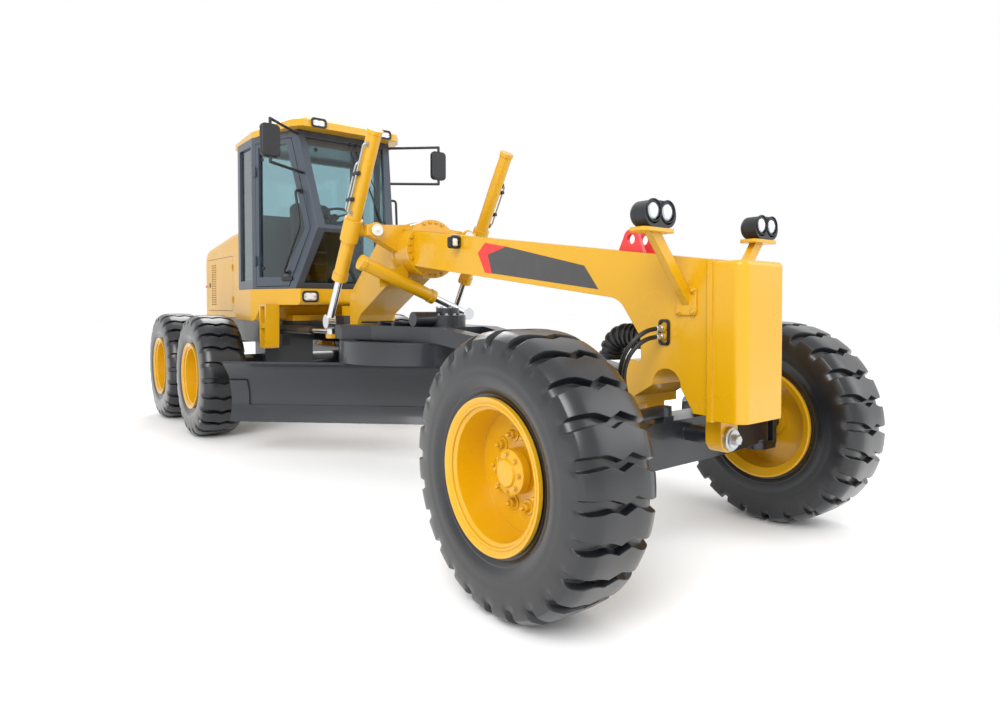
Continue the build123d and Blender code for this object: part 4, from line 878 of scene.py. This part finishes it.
print("lift pipes:", len(PIPE_PAIR), "on each ram")

# %% [markdown]
# ## Blade bolts
# Plough bolts hold the cutting edge and the end bits to the mouldboard. Their domed heads stand
# in a row, square to the curved face, so each place is worked out on the same arc as the plate.

# %% Plough bolts
circle_x = middle("circle").x
# in the blade's own frame, forward and up
EDGE_FRONT = -0.069
EDGE_LOW = 0.335
BELLY = (EDGE_FRONT - 0.03, EDGE_LOW + 0.296)
TOP_LIP = (0.065, 0.88)
EDGE_RISE = 0.08
END_BIT_Y = (-1.76, 1.76)
BLADE_ANGLE = math.radians(-45)
turn_blade = Matrix.Translation((circle_x, 0, 0)) @ Matrix.Rotation(BLADE_ANGLE, 4, "Z")


def arc_through(a, b, c):
    """Centre and radius of the circle through three points in X and Z."""
    d = 2 * (a[0] * (b[1] - c[1]) + b[0] * (c[1] - a[1]) + c[0] * (a[1] - b[1]))
    squares = [p[0] ** 2 + p[1] ** 2 for p in (a, b, c)]
    x = (squares[0] * (b[1] - c[1]) + squares[1] * (c[1] - a[1]) + squares[2] * (a[1] - b[1])) / d
    z = (squares[0] * (c[0] - b[0]) + squares[1] * (a[0] - c[0]) + squares[2] * (b[0] - a[0])) / d
    return Vector((x, z)), math.hypot(x - a[0], z - a[1])


face_centre, face_radius = arc_through((EDGE_FRONT, EDGE_LOW), BELLY, TOP_LIP)
plough_bolt = turned([(0.02, 0), (0.019, 0.004), (0.013, 0.007), (0.001, 0.008)], 18)
bolt_rows = [(EDGE_RISE, [-1.6 + 0.16 * number for number in range(21)])]
bolt_rows += [(rise, END_BIT_Y) for rise in (0.2, 0.32, EDGE_RISE)]
heads = []
for rise, across in bolt_rows:
    z = EDGE_LOW + rise
    lean = math.asin((z - face_centre.y) / face_radius)
    x = face_centre.x - face_radius * math.cos(lean)
    way = turn_blade.to_3x3() @ Vector((math.cos(lean), 0, -math.sin(lean)))
    heads += [placed(plough_bolt, turn_blade @ Vector((x, y, z)), way) for y in across]
piece("blade_bolts", joined(heads), zinc, "blade")
print("plough bolts:", len(heads))

# %% [markdown]
# ## Drawbar top
# The circle's gearbox is bolted down through its flange, and so is the cover on top of it. Four
# rubber-covered pipes lie along the drawbar's arm beside it, under two straps.

# %% Gearbox bolts and pipes
drive_x = circle_x + 0.43
DRAWBAR_TOP = 1.235
PIPES = 4
PIPE_GAP = 0.03
flange_bolts = ringed(hex_bolt(0.022), 12, 0.128, DRAWBAR_TOP + 0.09)
cover_bolts = ringed(hex_bolt(0.018), 6, 0.072, DRAWBAR_TOP + 0.15)
gear_bolts = placed(joined([flange_bolts, cover_bolts]), (drive_x, 0, 0))
piece("gearbox_bolts", gear_bolts, zinc, "drawbar")
pipes = []
pipe_z = DRAWBAR_TOP + 0.02
for number in range(PIPES):
    y = -0.16 - PIPE_GAP * number
    path = [(drive_x - 0.02, y, pipe_z + 0.03), (drive_x - 0.2, y, pipe_z)]
    path += [(circle_x - 0.2, y - 0.05, pipe_z), (circle_x - 0.38, y - 0.12, pipe_z)]
    pipes.append(tube(bent(path, 0.05), 0.01))
piece("drawbar_pipes", joined(pipes), hose_rubber, "drawbar")
strap = slab(0.05, 0.19, 0.01, 0.036, 0.005)
spots = [(circle_x + ahead, -0.235 - 0.03 * (0.2 - ahead), DRAWBAR_TOP) for ahead in (-0.12, 0.12)]
straps = joined([placed(strap, spot) for spot in spots])
piece("drawbar_pipe_straps", straps, slate_enamel, "drawbar")
print("drawbar pipes:", len(pipes))

# %% [markdown]
# ## Operator's seat
# The seat is foam under woven cloth: a crowned cushion and a backrest whose sides pull in between
# the corners, each with a groove round its edge for the seam. A cloth simulation is the usual way
# to puff up such a pad. Here the crowned form is worked out in code, which is quick and gives the
# same result each run.

# %% Cushions
deck_z = floor_z + 0.036
seat_x = -1.19
# share of the outline and of the height at each level of a pad's side, groove included
PAD_SIDE = ((0.86, 0.0), (0.97, 0.1), (1.0, 0.3), (1.0, 0.62), (0.985, 0.7), (0.995, 0.76), (0.95, 0.92))
PAD_CORNER = 0.18
PULL_IN = 0.035


def cushion(width, depth, height, crown):
    """A crowned pad: a rounded outline that swells in the middle and pulls in along its sides."""
    corner = PAD_CORNER * min(width, depth)
    rings = []
    for size, level in PAD_SIDE:
        ring = []
        for x, y in rounded(width * size, depth * size, corner * size, 8):
            pinch = 1 - PULL_IN * (1 - abs(2 * x / width) ** 2) * (1 - abs(2 * y / depth) ** 2 * 0.5)
            ring.append((x * pinch, y * pinch, level * height))
        rings.append(ring)
    for size in (0.8, 0.6, 0.4, 0.2, 0.02):
        swell = height * 0.92 + (height * 0.08 + crown) * (1 - size**2)
        rings.append([(x * size, y * size, swell) for x, y in rounded(width, depth, corner, 8)])
    return loft(rings)


seat_pad = placed(cushion(0.46, 0.49, 0.13, 0.02), (seat_x - 0.005, 0, deck_z + 0.255))
seat_cover = piece("seat_cushion", seat_pad, cloth, "rear", 50)
back_foot = (seat_x - 0.27, 0, deck_z + 0.69)
back_pad = placed(cushion(0.56, 0.47, 0.1, 0.015), back_foot, (1, 0, 0.14), math.pi / 2)
back_cover = piece("seat_backrest", back_pad, cloth, "rear", 50)
for pad in (seat_cover, back_cover):
    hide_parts("cab_interior")
print("cushions: seat and backrest")

# %% [markdown]
# ## Console and steering wheel
# The base, console and steering wheel are moulded plastic. Their outlines are lofted from ring to
# ring so that they taper like the real mouldings, and two lever banks stand beside the column.

# %% Base, column and wheel
def tapered(levels, radius):
    """A moulding through rounded outlines: width, depth, offset and height of each."""
    rings = []
    for width, depth, offset, height in levels:
        rings.append([(x + offset, y, height) for x, y in rounded(width, depth, radius)])
    return loft(rings)


BASE_LEVELS = [(0.26, 0.38, -0.02, 0.0), (0.24, 0.36, -0.02, 0.1)]
BASE_LEVELS += [(0.17, 0.34, -0.01, 0.15), (0.3, 0.4, 0, 0.25)]
COLUMN_LEVELS = [(0.13, 0.24, 0, 0.0), (0.11, 0.2, 0.02, 0.3), (0.12, 0.22, 0.02, 0.52)]
COLUMN_LEVELS += [(0.22, 0.26, 0.02, 0.62), (0.2, 0.24, 0.0, 0.66)]
RIM_RADIUS = 0.165
GRIP_RADIUS = 0.014
SPOKES = (0.5, 2.64, 4.71)
base = placed(tapered(BASE_LEVELS, 0.03), (seat_x, 0, deck_z))
column = placed(tapered(COLUMN_LEVELS, 0.035), (-0.7, 0, deck_z))
wheel_way = Vector((-0.45, 0, 1))
wheel_centre = Vector((-0.766, 0, deck_z + 0.765))
grip = [(RIM_RADIUS + GRIP_RADIUS * math.cos(t), GRIP_RADIUS * math.sin(t)) for t in turns(8)]
ends = [(0.16 * math.cos(t), 0.16 * math.sin(t), 0) for t in SPOKES]
spokes = [tube(((0, 0, -0.012), end), 0.011) for end in ends]
hub = turned([(0.045, -0.03), (0.05, -0.01), (0.04, 0.008), (0.001, 0.012)], 24)
steering = placed(joined([hoop(grip, 48), hub] + spokes), wheel_centre, wheel_way)
shaft = tube((wheel_centre - wheel_way.normalized() * 0.14, wheel_centre), 0.02)
print("base, column and steering wheel shaped")

# %% Lever banks
LEVERS = 4
knob = turned([(0.006, 0), (0.014, 0.01), (0.016, 0.03), (0.01, 0.044), (0.001, 0.047)], 14)
lever_box = slab(0.12, 0.16, 0.02, 0.05, 0.008)
levers = []
for side in (-1, 1):
    for number in range(LEVERS):
        foot = Vector((-0.66 - 0.012 * number, side * (0.15 + 0.035 * number), deck_z + 0.6))
        top = foot + Vector((-0.07, side * 0.01, 0.2))
        levers.append(tube((foot, top), 0.006))
        levers.append(placed(knob, top, top - foot))
    levers.append(placed(lever_box, (-0.68, side * 0.2, deck_z + 0.56)))
furniture = joined([base, column, steering, shaft] + levers)
console = piece("seat_base_and_console", furniture, black_plastic, "rear")
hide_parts("cab_interior")
print("console, steering wheel and", 2 * LEVERS, "levers")

# %% [markdown]
# ## Front pane
# On the front pane there is a dark printed band at the top, two parked wipers and the black
# fixing discs that bolt the frameless glass to the pillars. They are placed on the pane's own
# slope: across, a share of its height, and a small height above the glass.

# %% Band, discs and wipers
KINK_SHARE = 0.374
front_top = roof_front - 0.198
front_kink = front_top + 0.28
kink_z = floor_z + KINK_SHARE * CAB_HEIGHT
pane_way = Vector((front_top - front_kink, 0, roof_z - kink_z)).normalized()
pane_out = Vector((pane_way.z, 0, -pane_way.x))
GLASS_SUNK = 0.025
BAND_HALF = 0.405
disc = turned([(0.02, 0), (0.02, 0.006), (0.013, 0.012), (0.001, 0.013)], 20)


def on_pane(y, share, proud):
    """A point on the upper front pane: across, share of its height, and height above the glass."""
    foot = Vector((front_kink, y, kink_z))
    height = (roof_z - kink_z) / pane_way.z
    return foot + pane_way * height * share - pane_out * (GLASS_SUNK - proud)


corners = [(-BAND_HALF, 0.86), (BAND_HALF, 0.86), (BAND_HALF + 0.02, 0.945), (-BAND_HALF - 0.02, 0.945)]
band_rings = [[on_pane(y, share, 0.001 + lift) for y, share in corners] for lift in (0.0, FILM)]
piece("windscreen_band", loft(band_rings), charcoal_film, "rear")

disc_spots = ((-0.33, 0.82), (0.33, 0.82), (-0.3, 0.12), (0.3, 0.12))
discs = joined([placed(disc, on_pane(y, share, 0.0), pane_out) for y, share in disc_spots])
piece("pane_fixings_front", discs, black_plastic, "rear")

spindle = turned([(0.016, 0), (0.016, 0.02), (0.001, 0.026)], 16)
wiper_parts = []
for foot_y, tip_y in ((0.05, 0.2), (0.12, 0.27)):
    foot = on_pane(foot_y, 0.93, 0.03)
    wiper_parts.append(tube((foot, on_pane(tip_y, 0.45, 0.03)), 0.006))
    wiper_parts.append(placed(spindle, foot - pane_out * 0.024, pane_out))
wiper_parts.append(tube((on_pane(0.2, 0.5, 0.012), on_pane(0.3, 0.12, 0.012)), 0.009, 6))
wiper_parts.append(tube((on_pane(0.27, 0.45, 0.03), on_pane(0.25, 0.31, 0.018)), 0.006))
wiper_parts.append(tube((on_pane(0.2, 0.45, 0.03), on_pane(0.22, 0.42, 0.018)), 0.006))
piece("windscreen_wipers", joined(wiper_parts), black_plastic, "rear")
print("front pane fittings: band,", len(disc_spots), "discs, wipers")

# %% [markdown]
# ## Doors and mirrors
# Grab rails follow the kinked pillar of each door and ride on it with the handle and two fixing
# discs, so that they open with the door. The mirrors get silvered glass on their rear faces.

# %% Door rails, handles and mirror glass
# the doors slant inwards to the front from the rear post
DOOR_SLOPE = 0.34
CAB_HALF = 0.745
DOOR_BACK = -1.16
RAIL_OUT = 0.07
RAIL_SUNK = 0.004
RAIL_ENDS = ((-0.42, 2.56), (-0.6, 1.74))
RAIL_KINK = (-0.36, 2.2)
HANDLE_PLACE = (-0.62, 1.68)
DISC_PLACES = ((-1.02, 1.8), (-1.02, 2.95))
DISC_SUNK = 0.024
# ahead, out from the middle, and below the roof
MIRROR_PLACE = (-0.096, 0.91, 0.25)
foot_disc = turned([(0.03, 0), (0.03, 0.006), (0.016, 0.01)], 20)
handle = slab(0.16, 0.045, 0.018, 0.022, 0.006)
mirror = slab(0.15, 0.27, 0.035, 0.004, 0.0015)


def on_door(x, z, side, proud):
    """A point in front of a cab door's outer face, and the way out from it."""
    out = Vector((DOOR_SLOPE, side, 0)).normalized()
    return Vector((x, side * (CAB_HALF - DOOR_SLOPE * (x - DOOR_BACK)), z)) + out * proud, out


for side, word in SIDES:
    upper, lower = RAIL_ENDS
    rail = [(*upper, -RAIL_SUNK), (*upper, RAIL_OUT), (*RAIL_KINK, RAIL_OUT)]
    rail += [(*lower, RAIL_OUT), (*lower, -RAIL_SUNK)]
    points = [on_door(x, z, side, proud)[0] for x, z, proud in rail]
    shapes = [tube(bent(points, 0.035), 0.013)]
    shapes += [placed(foot_disc, *on_door(x, z, side, 0.0)) for x, z in RAIL_ENDS]
    shapes.append(placed(handle, *on_door(*HANDLE_PLACE, side, 0.0)))
    shapes += [placed(disc, *on_door(x, z, side, -DISC_SUNK)) for x, z in DISC_PLACES]
    piece(f"door_rail_{word}", joined(shapes), black_plastic, f"door_{word}")
    ahead, out, drop = MIRROR_PLACE
    shape = placed(mirror, (ahead, side * out, roof_z - drop), (-1, 0, 0))
    piece(f"mirror_glass_{word}", shape, mirror_silver, "rear")
print("door rails and mirror glass: 2 each")

# %% [markdown]
# ## Beacon and hood fittings
# The flashing beacon is an amber moulded cover with ribs over its lamp, turned in one profile. On
# the hood doors sits a sunk paddle latch.

# %% Beacon and latches
BEACON_HEIGHT = 0.13
BEACON_X = -1.5
RIBS = 5
RIB_PITCH = 0.012
beacon_profile = [(0.076, 0), (0.076, 0.026), (0.066, 0.032)]
for rib in range(RIBS):
    beacon_profile += [(0.0625, 0.036 + RIB_PITCH * rib), (0.0605, 0.042 + RIB_PITCH * rib)]
beacon_profile += [(0.06, 0.1), (0.05, 0.118), (0.03, 0.1285), (0.001, BEACON_HEIGHT)]
beacon_foot = (BEACON_X, 0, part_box("cab_roof")[1][2] - BEACON_HEIGHT)
beacon = placed(turned(beacon_profile, 40), beacon_foot)
piece("beacon_cover", beacon, amber_plastic, "rear")

LATCH_Z = 1.69
latch_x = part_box("hood_door_left")[0][0] + 0.085
paddle = slab(0.078, 0.046, 0.008, 0.012, 0.003)
for side, word in SIDES:
    shape = placed(paddle, (latch_x, side * (hood_side - 0.014), LATCH_Z), (0, side, 0))
    piece(f"hood_latch_{word}", shape, black_plastic, f"hood_door_{word}")
print("beacon with", RIBS, "ribs, latches: 2")

# %% [markdown]
# ## Studio
# A pale floor, a white surround and large soft lights, as in a catalogue picture. The floor and
# the surround are both white, so that no horizon shows behind the machine.

# %% Floor and lights
FLOOR_REACH = 60


def studio_floor():
    """A pale floor that runs far past the machine."""
    mesh = bpy.data.meshes.new("studio_floor")
    corners = [(FLOOR_REACH * x, FLOOR_REACH * y, 0) for x, y in ((-1, -1), (1, -1), (1, 1), (-1, 1))]
    mesh.from_pydata(corners, [], [(0, 1, 2, 3)])
    floor = bpy.data.objects.new("studio_floor", mesh)
    bpy.context.scene.collection.objects.link(floor)
    finish, tree = new_finish("studio_floor_matt")
    matt = put(tree, "ShaderNodeBsdfPrincipled", {"Base Color": linear("#ffffff"), "Roughness": 0.75})
    put(tree, "ShaderNodeOutputMaterial", {"Surface": matt.outputs[0]})
    mesh.materials.append(finish)


def soft_light(name, place, aim, size, power):
    """One large square soft box, aimed at a point."""
    lamp = bpy.data.lights.new(name, "AREA")
    lamp.size = size
    lamp.energy = power
    box = bpy.data.objects.new(name, lamp)
    box.location = place
    box.rotation_euler = (Vector(aim) - Vector(place)).to_track_quat("-Z", "Y").to_euler()
    bpy.context.scene.collection.objects.link(box)


studio_floor()
soft_light("key_box", (9, -9, 9), (0.5, 0, 1), 7, 1250)
soft_light("fill_box", (10, 7, 6), (1.5, 0, 1), 7, 250)
soft_light("back_box", (-9, 3, 9), (-1, 0, 1.5), 7, 600)
world = bpy.data.worlds.new("studio_surround")
world.use_nodes = True
surround = world.node_tree.nodes["Background"]
surround.inputs["Color"].default_value = linear("#ffffff")
surround.inputs["Strength"].default_value = 1.0
bpy.context.scene.world = world
bpy.context.scene.view_settings.view_transform = "Standard"
print("floor, 3 soft boxes and surround set")

# %% [markdown]
# ## Camera
# The camera stands low at the machine's right front corner. Its lens is given as a focal length
# in pixels of a frame 1000 wide, which Blender wants in millimetres on its sensor.

# %% Camera
FRAME_WIDTH = 1000
FOCAL_PIXELS = 667
HEADING = math.radians(140.53)
PITCH = math.radians(-1.3)
camera_data = bpy.data.cameras.new("studio_camera")
camera_data.sensor_width = 36
camera_data.lens = FOCAL_PIXELS * camera_data.sensor_width / FRAME_WIDTH
camera_data.shift_x = -0.0287
camera_data.shift_y = -0.0335
camera = bpy.data.objects.new("studio_camera", camera_data)
level = Vector((math.cos(HEADING), math.sin(HEADING), 0)) * math.cos(PITCH)
ahead = level + Vector((0, 0, math.sin(PITCH)))
camera.location = (6.258, -3.016, 1.411)
camera.rotation_euler = ahead.to_track_quat("-Z", "Y").to_euler()
bpy.context.scene.collection.objects.link(camera)
bpy.context.scene.camera = camera
print("camera lens", round(camera_data.lens, 1), "mm")
